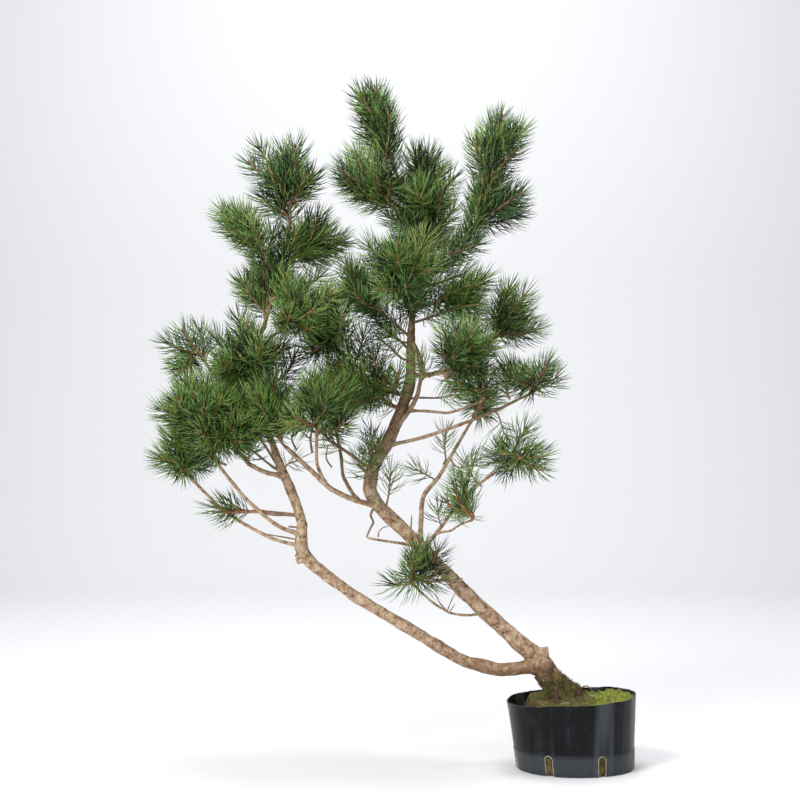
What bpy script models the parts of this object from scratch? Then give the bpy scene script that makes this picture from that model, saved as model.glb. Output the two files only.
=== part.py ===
"""Young hook pine, grown slanting to the left on two stems, in its cut-down nursery pot.

Metres, +Z up. The origin is the centre of the pot's flat underside. +X is to the right of the
tree's front, and +Y runs back through the crown.
"""

import math
import random

import bmesh
import bpy
import numpy as np
from mathutils import Vector

MM = 0.001
GAP = 0.3 * MM  # clear space between two pieces that touch

# The pot: a turned shell whose rim was cut by hand, a little higher on the right
POT_HEIGHT = 126 * MM
FOOT_RADIUS = 105 * MM
RIM_RADIUS = 116 * MM
POT_WALL = 2 * MM
POT_FLOOR = 3 * MM
POT_SIDES = 36
POT_LEAN = -7 * MM  # how far the rim lies to the left of the foot
RIM_TILT = 7 * MM
RIM_WAVE = 1.2 * MM
BAND_HEIGHT = 37 * MM
BAND_STEP = 0.8 * MM
SLOT_COUNT = 7
SLOT_WIDTH = 14.5 * MM
SLOT_TOP = 36 * MM
SLOT_FIRST_ANGLE = math.radians(-29.5)

# The soil: level round the trunk, sunk at the left wall, a mossy rise at the right wall
SOIL_LEVEL = 118 * MM
SOIL_SIDE_GAP = 1.3 * MM
SOIL_DIP = 19 * MM
SOIL_DIP_FROM = -70 * MM
SOIL_DIP_WIDTH = 38 * MM
MOSS_RISE = 9 * MM
MOSS_FROM = 48 * MM
MOSS_WIDTH = 28 * MM
SOIL_SIDES = 30
SOIL_RINGS = (0.42, 0.62, 0.82, 1.0)

# The root flare: lobed, and leaning over with the trunk
FLARE_CENTRE = -20 * MM
FLARE_PROFILE = ((21, 46), (24, 27), (33, 10), (44, 0))  # radius and height, mm
FLARE_LEAN = -0.5  # shift to the left for each unit of height
FLARE_LOBES = 5
FLARE_LOBE_DEPTH = 0.14

# Stems by a few points along their middle, mm: x, y, z, radius
TRUNK = (
    (-24, 0, 128, 19), (-36, 0, 149, 20), (-50, 0, 168, 19.5), (-66, 1, 193, 17.5),
    (-98, 2, 221, 15.3), (-121, 3, 242, 13.8), (-144, 5, 262, 13.7), (-206, 10, 321, 12.8),
    (-283, 15, 399, 12.7), (-311, 16, 428, 12.3), (-342, 18, 456, 12.5), (-362, 20, 480, 12.8),
    (-369, 20, 497, 12.8),
)
TRUNK_UPPER = (
    (-369, 20, 497, 12.4), (-363, 20, 539, 12), (-338, 20, 582, 11.5), (-311, 20, 646, 11),
    (-297, 18, 696, 9.8), (-295, 15, 759, 8), (-293, 15, 808, 6.2), (-279, 20, 870, 4.6),
    (-261, 20, 917, 3.2),
)
LEFT_STEM = (
    (-66, 0, 186, 12.4), (-96, -5, 179, 12.4), (-118, -9, 176.5, 12.3), (-141, -12, 177, 12.2),
    (-175, -16, 186, 11.6), (-210, -20, 198, 11.1), (-287, -28, 245, 10.4), (-388, -35, 306, 10),
    (-452, -38, 353, 10.6), (-475, -39, 372, 11.6), (-490, -40, 396, 11.6),
)
LEFT_STEM_UPPER = (
    (-490, -40, 396, 10.4), (-490, -40, 439, 9.6), (-506, -38, 491, 8.9), (-527, -35, 539, 8.5),
)
LEFT_LEADER = (
    (-527, -35, 539, 6.6), (-544, -30, 585, 6), (-567, -20, 631, 5.5), (-584, -10, 673, 5),
    (-583, 0, 723, 4.5), (-560, 10, 795, 3.6), (-531, 12, 892, 2.8), (-516, 10, 960, 2.2),
)
TRUNK_SIDES = 10
STEM_SIDES = 10
LEADER_SIDES = 8
BOUGH_SIDES = 6
BOUGH_RINGS = 6
STEM_SPACING = 38 * MM

# Sawn stubs and a bare twig that are fused to the trunk, mm: from, to, radius at each end
TRUNK_STUBS = (
    ((-72, 0, 196), (-55, -2, 209), 11, 9),
    ((-52, 0, 182), (-43, -17, 186), 10, 8.5),
)
BARE_TWIG_HEIGHT = 389 * MM
BARE_TWIG_TIP = (-374, -15, 413)
BARE_TWIG_BOW = (4, -4, 1)
BARE_TWIG_RADII = (3.4, 2)

# Boughs, mm: name, limb that carries it, height there, tip, bow of its middle, radius at each end
BOUGHS = (
    ("bough_left_low", "left_stem_upper", 399, (-680, -80, 520), (0, -5, -22), 3.6, 2.6),
    ("bough_left_middle", "left_stem_upper", 420, (-663, -100, 588), (0, -10, -28), 4.2, 2.8),
    ("bough_left_side", "left_stem_upper", 524, (-630, -62, 611), (-6, -8, -20), 4.6, 3.2),
    ("bough_left_high", "left_leader", 640, (-655, -45, 718), (0, 0, -14), 3.2, 2.4),
    ("bough_middle", "trunk", 468, (-516, -75, 577), (2, -2, -22), 5.4, 4.2),
    ("bough_middle_front", "bough_middle", 512, (-461, -90, 588), (-6, -5, 0), 3.6, 2.6),
    ("bough_middle_rear", "bough_middle", 479, (-429, 60, 587), (-6, 5, -10), 4, 2.8),
    ("bough_upper_left", "trunk_upper", 642, (-420, -20, 740), (0, 0, -14), 3, 2.4),
    ("bough_side_stem", "trunk_upper", 604, (-231, -35, 710), (-10, 4, 16), 5.4, 2.6),
    ("bough_right_short", "bough_side_stem", 641, (-176, -40, 656), (7, -2, -10), 2.8, 2.2),
    ("bough_right_long", "trunk_upper", 577, (-84, -10, 670), (0, -4, -12), 3.8, 2.6),
    ("bough_right_high", "trunk_upper", 705, (-156, 40, 762), (0, 10, -15), 3.4, 2.4),
    ("bough_right_rear", "trunk", 395, (-180, 50, 630), (-28, -2, -4), 4.8, 2.8),
    ("bough_right_low", "trunk", 390, (-126, -40, 548), (-8, -6, 5), 3.8, 2.4),
    ("bough_right_thin", "bough_right_low", 420, (-192, -34, 444), (0, 0, -4), 2.4, 2),
    ("bough_low_front", "trunk", 277, (-287, -45, 328), (0, -8, -22), 2.6, 2.2),
    ("bough_crown_left", "trunk_upper", 900, (-315, 0, 1050), (6, -5, 10), 3.2, 2.4),
    ("bough_crown_right", "trunk_upper", 872, (-173, 30, 1010), (16, 5, -14), 3.6, 2.4),
)
BOUGH_KINK = 2.5  # how far a bough's seeded wander reaches, mm
BOUGH_KNEES = {  # sharp turns on its way, mm
    "bough_right_rear": ((-272, 22, 486), (-246, 30, 519)),
    "bough_side_stem": ((-299, 6, 640), (-284, 0, 668), (-276, -4, 698)),
}

# Foliage, mm: name, limb that carries it, height there or None for its tip, centre, half sizes,
# the way its shoots lean, and how many shoots it has
FOLIAGE = (
    ("foliage_top", "bough_crown_left", None, (-356, 0, 1148), (46, 46, 100), (-0.2, 0, 1), 5),
    ("foliage_top_left", "bough_crown_left", 950, (-374, -34, 1050), (64, 60, 72), (-0.45, -0.2, 0.85), 5),
    ("foliage_top_middle", "trunk_upper", None, (-268, 10, 1030), (64, 66, 98), (0.1, -0.1, 1), 6),
    ("foliage_top_right", "bough_crown_right", None, (-138, 20, 1108), (44, 46, 94), (0.35, 0, 0.93), 5),
    ("foliage_top_right_low", "bough_crown_right", 935, (-136, 52, 1028), (60, 56, 46), (0.8, 0.1, 0.6), 4),
    ("foliage_front_high", "trunk_upper", 800, (-312, -98, 880), (72, 66, 86), (-0.1, -0.25, 1), 6),
    ("foliage_shoulder_right", "trunk_upper", 820, (-205, -20, 846), (64, 60, 54), (0.7, 0, 0.65), 4),
    ("foliage_right_high", "bough_right_high", None, (-112, 46, 810), (54, 50, 52), (0.7, 0.1, 0.7), 4),
    ("foliage_shoulder_left", "trunk_upper", 770, (-392, -10, 854), (56, 56, 60), (-0.35, 0, 0.93), 4),
    ("foliage_rear_high", "trunk_upper", 840, (-287, 138, 941), (94, 80, 108), (0, 0.45, 0.9), 4),
    ("foliage_right_front", "bough_side_stem", None, (-212, -106, 744), (64, 62, 60), (0.3, -0.35, 0.9), 5),
    ("foliage_right_short", "bough_right_short", None, (-186, -50, 688), (54, 54, 48), (0.3, -0.1, 0.9), 3),
    ("foliage_right_far", "bough_right_long", None, (-78, -10, 692), (56, 54, 54), (0.75, 0, 0.65), 5),
    ("foliage_right_rear", "bough_right_rear", None, (-162, 98, 664), (54, 56, 54), (0.3, 0.4, 0.85), 4),
    ("foliage_right_low", "bough_right_low", None, (-110, -48, 558), (60, 56, 54), (0.8, -0.1, 0.45), 5),
    ("foliage_right_thin", "bough_right_thin", None, (-214, -44, 470), (50, 48, 46), (0, -0.1, 1), 4),
    ("foliage_centre", "bough_upper_left", None, (-434, -45, 782), (66, 64, 64), (-0.35, -0.1, 0.9), 4),
    ("foliage_centre_front", "trunk_upper", 665, (-378, -52, 684), (66, 66, 62), (-0.3, -0.3, 0.85), 4),
    ("foliage_centre_low", "trunk_upper", 545, (-352, 66, 564), (54, 56, 50), (-0.1, 0.3, 0.9), 3),
    ("foliage_middle_front", "bough_middle_front", None, (-458, -124, 646), (74, 66, 76), (-0.1, -0.3, 0.9), 5),
    ("foliage_middle_rear", "bough_middle_rear", None, (-430, 110, 664), (70, 72, 78), (-0.1, 0.4, 0.9), 3),
    ("foliage_middle_left", "bough_middle", None, (-544, -98, 648), (66, 60, 72), (-0.3, -0.3, 0.85), 4),
    ("foliage_low_tuft", "bough_low_front", None, (-282, -66, 352), (54, 52, 50), (0, -0.2, 1), 4),
    ("foliage_left_top", "left_leader", None, (-521, 0, 1056), (68, 60, 76), (-0.1, 0, 1), 5),
    ("foliage_left_top_left", "left_leader", 880, (-602, -20, 968), (54, 54, 54), (-0.7, -0.1, 0.75), 3),
    ("foliage_left_top_right", "left_leader", 890, (-468, 18, 952), (54, 54, 54), (0.65, 0, 0.8), 4),
    ("foliage_left_upper", "left_leader", 800, (-566, 74, 862), (64, 66, 74), (-0.25, 0.4, 0.85), 4),
    ("foliage_left_front", "left_leader", 745, (-492, -90, 810), (70, 68, 74), (0.2, -0.4, 0.85), 4),
    ("foliage_left_high", "bough_left_high", None, (-684, -55, 746), (54, 54, 66), (-0.5, -0.1, 0.85), 5),
    ("foliage_left_far", "bough_left_middle", None, (-662, -112, 642), (66, 64, 66), (-0.6, -0.2, 0.75), 5),
    ("foliage_left_low_far", "bough_left_low", None, (-688, -86, 550), (66, 62, 56), (-0.95, 0, 0.3), 4),
    ("foliage_left_side", "bough_left_side", None, (-622, -112, 602), (72, 62, 66), (-0.35, -0.35, 0.85), 6),
    ("foliage_left_inner", "left_leader", 675, (-570, -76, 722), (72, 66, 76), (-0.2, -0.4, 0.95), 6),
    ("foliage_left_rear", "left_stem_upper", 498, (-620, 130, 660), (82, 80, 84), (-0.3, 0.5, 0.8), 4),
    ("foliage_left_tuft", "left_stem_upper", 453, (-620, -86, 468), (46, 44, 40), (-0.95, -0.2, 0.3), 3),
)
STEM_OF_MASS_RADIUS = 2.8 * MM
STEM_FOOT = 6 * MM  # straight length at the foot of a mass's stem
STEM_LIFT = 0.15  # how far stems, first shoots and all shoots turn upwards
SHOOT_SPREAD = 0.75  # how much a shoot turns from its mass's lean to its own side
TURNING_BACK = 1.6  # how much a twig would rather leave the wood behind it
SHOOT_FALL = 1.7  # how far down a mass its shoots are spread, of its two half heights
TWIG_RADIUS = 2.6 * MM
TWIG_SIDES = 3
TWIG_SPACING = 75 * MM
FOOT_PULL = 0.35  # how far a twig keeps its heading from its foot, and up to its tip
TIP_PULL = 0.4
CURVE_STEPS = 40
MOST_SHOOT = 0.8  # of a twig's length
SHOOT_LENGTH = 84 * MM
SHOOT_BANDS = 5
SHOOT_TURN = math.radians(38)  # how far each band of needles is turned from the last
NEEDLE_LENGTH = 66 * MM
NEEDLE_SPREAD = math.radians(48)  # between a needle and its shoot
SPREAD_PLAY = 0.16
LENGTH_PLAY = (0.88, 1.08)
NEEDLE_ROOT = 0.35  # the share of a needle that is kept to its wider room
BUD_LENGTH = 26 * MM
SHOOT_INSET = 26 * MM  # from a mass's outline in to the tips of its shoots
NEEDLE_SHARES = (1, 0.8, 0.62)  # a needle with no room is tried shorter, then left out
ROOT_ROOM = 5 * MM  # half the width kept free along a needle's root, and along its rest
NEEDLE_ROOM = 3 * MM
KIN_EASE = 4 * MM  # needles of one mass may come this much closer to each other, and fuse
NEEDLE_GAP = 0.5 * MM
TWIG_ROOM = 1 * MM
OUTLINE_SLACK = 1.25
GOLDEN_ANGLE = math.pi * (3 - math.sqrt(5))
TRIES = 12
TRIES_AT_A_PLACE = 3
STEM_BEND = 6 * MM  # how much further a stem or a twig bends at each new try
TWIG_BEND = 4 * MM

BARK = (0.40, 0.27, 0.18)
YOUNG_BARK = (0.33, 0.19, 0.12)
NEEDLES = (0.045, 0.115, 0.04)
POT_BLACK = (0.022, 0.025, 0.03)
SOIL_BROWN = (0.09, 0.075, 0.03)


def clear_scene():
    for obj in list(bpy.data.objects):
        bpy.data.objects.remove(obj, do_unlink=True)


def new_collection(name):
    collection = bpy.data.collections.new(name)
    bpy.context.scene.collection.children.link(collection)
    return collection


def evaluated_mesh(obj):
    """The object's mesh with its modifiers, or its curve turned into a mesh."""
    graph = bpy.context.evaluated_depsgraph_get()
    return bpy.data.meshes.new_from_object(obj.evaluated_get(graph))


def weld(mesh):
    shape = bmesh.new()
    shape.from_mesh(mesh)
    bmesh.ops.remove_doubles(shape, verts=shape.verts, dist=0.001 * MM)
    shape.to_mesh(mesh)
    shape.free()


def mesh_from_curve(curve_object):
    """Replaces a curve object with a mesh object of the same name, place and collection."""
    mesh = evaluated_mesh(curve_object)
    weld(mesh)
    name = curve_object.name
    home = curve_object.users_collection[0]
    place = curve_object.matrix_world.copy()
    curve = curve_object.data
    bpy.data.objects.remove(curve_object)
    bpy.data.curves.remove(curve)
    piece = bpy.data.objects.new(name, mesh)
    piece.matrix_world = place
    home.objects.link(piece)
    return piece


def turned(name, profile, sides, home):
    """A closed turned shape from a profile of (radius, height) that runs down its outer side."""
    mesh = bpy.data.meshes.new(name)
    rows = [(radius, 0, height) for radius, height in profile]
    mesh.from_pydata(rows, [(i, i + 1) for i in range(len(rows) - 1)], [])
    piece = bpy.data.objects.new(name, mesh)
    home.objects.link(piece)
    screw = piece.modifiers.new("turn", "SCREW")
    screw.steps = sides
    screw.render_steps = sides
    screw.use_merge_vertices = True
    screw.merge_threshold = 0.00001
    piece.data = evaluated_mesh(piece)
    piece.modifiers.clear()
    bpy.data.meshes.remove(mesh)
    weld(piece.data)
    return piece


def combine(piece, others, operation):
    """Applies one Boolean of the piece with all the others, then removes those."""
    group = new_collection("operands")
    for other in others:
        for home in list(other.users_collection):
            home.objects.unlink(other)
        group.objects.link(other)
    boolean = piece.modifiers.new("combine", "BOOLEAN")
    boolean.operation = operation
    boolean.operand_type = "COLLECTION"
    boolean.collection = group
    combined = evaluated_mesh(piece)
    piece.modifiers.clear()
    old = piece.data
    piece.data = combined
    bpy.data.meshes.remove(old)
    for other in others:
        bpy.data.meshes.remove(other.data)
    bpy.data.collections.remove(group)


def keep_main_body(piece):
    """Drops loose scraps, and fills the hollows that a union has sealed."""
    shape = bmesh.new()
    shape.from_mesh(piece.data)
    bmesh.ops.triangulate(shape, faces=shape.faces)
    left = set(shape.faces)
    bodies = []
    while left:
        body = [left.pop()]
        for face in body:
            for edge in face.edges:
                for near in edge.link_faces:
                    if near in left:
                        left.remove(near)
                        body.append(near)
        volume = sum(f.verts[0].co.dot(f.verts[1].co.cross(f.verts[2].co)) for f in body)
        bodies.append((volume, body))
    main = max(bodies, key=lambda entry: entry[0])[1]
    scraps = [face for _, body in bodies if body is not main for face in body]
    bmesh.ops.delete(shape, geom=scraps, context="FACES")
    shape.to_mesh(piece.data)
    shape.free()


def finish(piece, colour, roughness, round_angle=35):
    material = bpy.data.materials.new(piece.name)
    material.use_nodes = True
    shader = material.node_tree.nodes["Principled BSDF"]
    shader.inputs["Base Color"].default_value = (*colour, 1)
    shader.inputs["Roughness"].default_value = roughness
    shader.inputs["Metallic"].default_value = 0
    piece.data.materials.clear()
    piece.data.materials.append(material)
    piece.data.shade_smooth()
    piece.data.set_sharp_from_angle(angle=math.radians(round_angle))


def smooth_step(value):
    value = min(max(value, 0), 1)
    return value * value * (3 - 2 * value)


def wall_radius(height):
    """Outer radius of the pot's wall."""
    return FOOT_RADIUS + (RIM_RADIUS - FOOT_RADIUS) * height / POT_HEIGHT


def lean_and_trim(mesh):
    """Leans the pot's wall to the left and gives the rim its slope and its waves."""
    for vertex in mesh.vertices:
        x, y, z = vertex.co
        rise = z / POT_HEIGHT
        around = math.atan2(y, x)
        wave = math.sin(3 * around + 0.6) + 0.6 * math.sin(7 * around + 2)
        vertex.co.x = x + POT_LEAN * rise
        vertex.co.z = z + rise**4 * (RIM_TILT * x / RIM_RADIUS + RIM_WAVE * wave)


def slot_cutter(number, home):
    """An upright slot with a round top, wider than the wall is thick."""
    curve = bpy.data.curves.new("slot_cutter", "CURVE")
    curve.dimensions = "2D"
    curve.fill_mode = "BOTH"
    curve.extrude = 7 * MM
    half = SLOT_WIDTH / 2
    below = -5 * MM
    arc = [math.pi * i / 5 for i in range(6)]
    outline = [(-half, below), (half, below)]
    outline += [(half * math.cos(a), SLOT_TOP - half + half * math.sin(a)) for a in arc]
    spline = curve.splines.new("POLY")
    spline.points.add(len(outline) - 1)
    for point, (x, y) in zip(spline.points, outline):
        point.co = (x, y, 0, 1)
    spline.use_cyclic_u = True
    cutter = bpy.data.objects.new("slot_cutter", curve)
    home.objects.link(cutter)
    turn = SLOT_FIRST_ANGLE + 2 * math.pi * number / SLOT_COUNT
    cutter.rotation_euler = (math.radians(90), 0, turn)
    cutter.location = Vector((math.sin(turn), -math.cos(turn), 0)) * FOOT_RADIUS
    bpy.context.view_layer.update()
    cutter = mesh_from_curve(cutter)
    cutter.data.transform(cutter.matrix_world)
    cutter.matrix_world.identity()
    return cutter


def make_pot(home, cutters):
    inner_foot = wall_radius(POT_FLOOR) - POT_WALL
    band_radius = wall_radius(BAND_HEIGHT)
    profile = (
        (0, POT_FLOOR), (inner_foot, POT_FLOOR), (RIM_RADIUS - POT_WALL, POT_HEIGHT),
        (RIM_RADIUS, POT_HEIGHT), (band_radius, BAND_HEIGHT),
        (band_radius + BAND_STEP, BAND_HEIGHT - BAND_STEP), (FOOT_RADIUS + BAND_STEP, 1 * MM),
        (FOOT_RADIUS, 0), (0, 0),
    )
    pot = turned("pot", profile, POT_SIDES, home)
    lean_and_trim(pot.data)
    combine(pot, [slot_cutter(number, cutters) for number in range(SLOT_COUNT)], "DIFFERENCE")
    keep_main_body(pot)
    finish(pot, POT_BLACK, 0.45)


def soil_height(x):
    dip = SOIL_DIP * smooth_step((SOIL_DIP_FROM - x) / SOIL_DIP_WIDTH)
    rise = MOSS_RISE * smooth_step((x - MOSS_FROM) / MOSS_WIDTH)
    return SOIL_LEVEL - dip + rise


def soil_radius(height):
    return wall_radius(height) - POT_WALL - SOIL_SIDE_GAP


def make_soil(home):
    """The root ball with its mossy top, a little clear of the pot's wall."""
    bottom = POT_FLOOR + GAP
    profile = [(0, SOIL_LEVEL)]
    profile += [(soil_radius(SOIL_LEVEL) * share, SOIL_LEVEL) for share in SOIL_RINGS]
    profile += [(soil_radius(bottom), bottom), (0, bottom)]
    soil = turned("soil", profile, SOIL_SIDES, home)
    for vertex in soil.data.vertices:
        x, y, z = vertex.co
        height = soil_height(x + POT_LEAN) if z > SOIL_LEVEL - MM else z
        narrower = soil_radius(height) / soil_radius(z)
        vertex.co = (x * narrower + POT_LEAN * height / POT_HEIGHT, y * narrower, height)
    finish(soil, SOIL_BROWN, 0.95)


def smooth_path(guides, spacing):
    """Rows of x, y, z and radius in metres along a smooth curve through guide points in mm."""
    guides = np.array(guides, float) * MM
    ends = np.vstack([2 * guides[0] - guides[1], guides, 2 * guides[-1] - guides[-2]])
    rows = []
    for i in range(1, len(ends) - 2):
        before, start, end, after = ends[i - 1 : i + 3]
        steps = max(1, round(float(np.linalg.norm((end - start)[:3])) / spacing))
        for t in np.arange(steps) / steps:
            rows.append(
                0.5
                * (
                    2 * start
                    + (end - before) * t
                    + (2 * before - 5 * start + 4 * end - after) * t**2
                    + (3 * start - before - 3 * end + after) * t**3
                )
            )
    rows.append(ends[-2])
    return np.array(rows)


def tube(name, path, sides, home):
    """A round tapering limb along rows of x, y, z and radius, closed at both ends."""
    curve = bpy.data.curves.new(name, "CURVE")
    curve.dimensions = "3D"
    curve.bevel_depth = 1
    curve.bevel_resolution = (sides - 4) // 2
    curve.use_fill_caps = True
    spline = curve.splines.new("POLY")
    spline.points.add(len(path) - 1)
    for point, (x, y, z, radius) in zip(spline.points, path):
        point.co = (x, y, z, 1)
        point.radius = radius
    limb = bpy.data.objects.new(name, curve)
    home.objects.link(limb)
    return mesh_from_curve(limb)


def unit(vector):
    return vector / np.linalg.norm(vector)


def fattened(path):
    """The path of the same limb, GAP thicker and longer all round."""
    path = path.copy()
    path[:, 3] += GAP
    path[0, :3] -= unit(path[1, :3] - path[0, :3]) * GAP
    path[-1, :3] += unit(path[-1, :3] - path[-2, :3]) * GAP
    return path


def least_distance(a, b, c, d):
    """Least distance between the straight piece a-b and each of the pieces c-d."""
    along = b - a
    across = d - c
    between = a - c
    aa = max(float(along @ along), 1e-12)
    ee = np.maximum((across * across).sum(1), 1e-12)
    ac = between @ along
    ec = (across * between).sum(1)
    ae = across @ along
    spread = aa * ee - ae * ae
    s = np.where(spread > 1e-14, np.clip((ae * ec - ac * ee) / np.maximum(spread, 1e-14), 0, 1), 0)
    t = np.clip((ae * s + ec) / ee, 0, 1)
    s = np.clip((ae * t - ac) / aa, 0, 1)
    nearest = between + s[:, None] * along - t[:, None] * across
    return np.sqrt((nearest * nearest).sum(1))


def row_at_height(path, height):
    """The path's x, y, z and radius at a height."""
    for start, end in zip(path[:-1], path[1:]):
        if (start[2] - height) * (end[2] - height) <= 0:
            share = (height - start[2]) / (end[2] - start[2])
            return start + (end - start) * share
    raise ValueError(f"no part of the limb is at {height}")


class Limbs:
    """The stems and boughs so far, by name, with their paths."""

    def __init__(self, home, cutters):
        self.home = home
        self.cutters = cutters
        self.paths = {}
        self.sides = {}

    def near(self, path):
        """Names of the limbs that this path comes too close to."""
        found = []
        for name, other in self.paths.items():
            room = other[:-1, 3].max() + path[:, 3].max() + 2 * GAP
            gaps = [
                least_distance(a[:3], b[:3], other[:-1, :3], other[1:, :3]).min()
                for a, b in zip(path[:-1], path[1:])
            ]
            if min(gaps) < room:
                found.append(name)
        return found

    def add(self, name, path, sides, colour, extras=()):
        """Makes one limb, its foot shaped to the limbs that it leaves, a GAP clear of them."""
        limb = tube(name, path, sides, self.home)
        if extras:
            combine(limb, extras, "UNION")
        near = self.near(path)
        if near:
            cut = [
                tube("cutter", fattened(self.paths[other]), self.sides[other], self.cutters)
                for other in near
            ]
            combine(limb, cut, "DIFFERENCE")
        keep_main_body(limb)
        finish(limb, colour, 0.85)
        self.paths[name] = path
        self.sides[name] = sides


def make_flare(home):
    """Root flare from the flat cut at soil level up into the trunk."""
    ground = SOIL_LEVEL + GAP
    profile = [(0, FLARE_PROFILE[0][1] * MM)]
    profile += [(radius * MM, height * MM) for radius, height in FLARE_PROFILE]
    profile.append((0, 0))
    flare = turned("flare", profile, 20, home)
    top = FLARE_PROFILE[0][1] * MM
    for vertex in flare.data.vertices:
        x, y, z = vertex.co
        low = (1 - z / top) ** 2
        lobe = 1 + FLARE_LOBE_DEPTH * low * math.cos(FLARE_LOBES * math.atan2(y, x) + 0.5)
        vertex.co = (x * lobe + FLARE_CENTRE + FLARE_LEAN * z, y * lobe, z + ground)
    return flare


def bough_path(name, start, tip, bow, radius, tip_radius):
    """A limb that is bowed with a small seeded wander, or runs over its knees, from mm."""
    seeded = random.Random(name)
    start = np.array(start)
    tip = np.array(tip, float)
    shares = (0.25, 0.5, 0.75)
    middles = BOUGH_KNEES.get(name)
    if middles is None:
        middles = []
        for share in shares:
            wander = np.array([seeded.uniform(-1, 1) for _ in range(3)]) * BOUGH_KINK
            bowed = np.array(bow) * 4 * share * (1 - share)
            middles.append(start + (tip - start) * share + bowed + wander)
    guides = [(*start, radius)]
    for share, middle in zip(shares, middles):
        guides.append((*middle, radius + (tip_radius - radius) * share))
    guides.append((*tip, tip_radius))
    length = np.linalg.norm(tip - start) * MM
    return smooth_path(guides, length / BOUGH_RINGS)


def make_trunk(limbs):
    path = smooth_path(TRUNK, STEM_SPACING)
    extras = [make_flare(limbs.home)]
    for foot, end, radius, end_radius in TRUNK_STUBS:
        stub = smooth_path(((*foot, radius), (*end, end_radius)), 1)
        extras.append(tube("stub", stub, 8, limbs.home))
    foot = row_at_height(path, BARE_TWIG_HEIGHT)[:3]
    twig = bough_path("bare_twig", foot / MM, BARE_TWIG_TIP, BARE_TWIG_BOW, *BARE_TWIG_RADII)
    extras.append(tube("bare_twig", twig, BOUGH_SIDES, limbs.home))
    limbs.add("trunk", path, TRUNK_SIDES, BARK, extras)
    limbs.paths["bare_twig"] = twig
    limbs.sides["bare_twig"] = BOUGH_SIDES


def make_limbs(home, cutters):
    limbs = Limbs(home, cutters)
    make_trunk(limbs)
    limbs.add("trunk_upper", smooth_path(TRUNK_UPPER, STEM_SPACING), STEM_SIDES, BARK)
    limbs.add("left_stem", smooth_path(LEFT_STEM, STEM_SPACING), STEM_SIDES, BARK)
    limbs.add("left_stem_upper", smooth_path(LEFT_STEM_UPPER, STEM_SPACING), STEM_SIDES, BARK)
    limbs.add("left_leader", smooth_path(LEFT_LEADER, STEM_SPACING), LEADER_SIDES, BARK)
    for name, carrier, height, tip, bow, radius, tip_radius in BOUGHS:
        foot = row_at_height(limbs.paths[carrier], height * MM)[:3]
        path = bough_path(name, foot / MM, tip, bow, radius, tip_radius)
        limbs.add(name, path, BOUGH_SIDES, YOUNG_BARK)
    return limbs


class Crown:
    """Straight pieces of every limb, twig and needle so far, each with its owner and thickness."""

    def __init__(self, limbs):
        self.starts = []
        self.ends = []
        self.radii = []
        self.owners = []
        self.twigs = []
        for name, path in limbs.paths.items():
            self.take(path, name)
        self.centres = np.array([row[3] for row in FOLIAGE]) * MM
        self.halves = np.array([row[4] for row in FOLIAGE]) * MM

    def take(self, path, owner, twig=None):
        for start, end in zip(path[:-1], path[1:]):
            self.starts.append(start[:3])
            self.ends.append(end[:3])
            self.radii.append(max(start[3], end[3]))
            self.owners.append(owner)
            self.twigs.append(-1 if twig is None else twig)

    def clear(self, path, room, owner, twig=None, carrier=None):
        """Whether a path keeps off all that its owner, or with a twig's number all that this twig,
        doesn't own. Its foot may lie on its carrier."""
        owners = np.array(self.owners)
        others = owners != owner
        if twig is not None:
            others |= np.array(self.twigs) != twig
        for number, (start, end) in enumerate(zip(path[:-1], path[1:])):
            apart = others & (owners != carrier) if number < 2 else others
            gaps = least_distance(
                start[:3], end[:3], np.array(self.starts)[apart], np.array(self.ends)[apart]
            )
            least = np.array(self.radii)[apart] + max(start[3], end[3]) + room
            least -= KIN_EASE * (owners[apart] == owner)
            if (gaps < least).any():
                return False
        return True

    def in_space(self, point, number):
        """Whether a point lies in this mass's space."""
        return np.linalg.norm((point - self.centres[number]) / self.halves[number]) < OUTLINE_SLACK


def twig_path(start, heading, tip, tip_heading, radius, bend):
    """Rows along a twig: a bare length, then one row for each band of needles."""
    length = np.linalg.norm(tip - start)
    out = start + heading * length * FOOT_PULL
    back = tip - tip_heading * length * TIP_PULL + bend
    fine = np.linspace(0, 1, CURVE_STEPS + 1)[:, None]
    rest = 1 - fine
    curve = rest**3 * start + 3 * rest**2 * fine * out + 3 * rest * fine**2 * back + fine**3 * tip
    travelled = np.concatenate([[0], np.cumsum(np.linalg.norm(np.diff(curve, axis=0), axis=1))])
    total = travelled[-1]
    shoot = min(SHOOT_LENGTH, total * MOST_SHOOT)
    bare = total - shoot
    bare_rows = max(1, round(bare / TWIG_SPACING))
    stops = [bare * i / bare_rows for i in range(bare_rows)]
    stops += [bare + shoot * i / SHOOT_BANDS for i in range(SHOOT_BANDS + 1)]
    points = np.column_stack([np.interp(stops, travelled, curve[:, i]) for i in range(3)])
    taper = np.interp(stops, [0, bare, total], [radius, radius * 0.95, radius * 0.7])
    return np.column_stack([points, taper])


def with_bud(path):
    """The path with the end of its bud, which the mesh draws out of the twig's end."""
    end = path[-1, :3] + unit(path[-1, :3] - path[-2, :3]) * BUD_LENGTH
    return np.vstack([path, [*end, 0]])


def foot_of_mass(limbs, carrier, height, centre):
    """Where a mass's stem starts, its heading there and how far it runs straight. It starts GAP
    past its carrier's tip, or in the carrier's middle, where it is cut to the bark later."""
    path = limbs.paths[carrier]
    if height is None:
        heading = unit(path[-1, :3] - path[-2, :3])
        return path[-1, :3] + heading * GAP, heading, STEM_FOOT
    row = row_at_height(path, height * MM)
    heading = unit(unit(centre - row[:3]) + np.array([0, 0, STEM_LIFT]))
    return row[:3], heading, STEM_FOOT + row[3]


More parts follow.
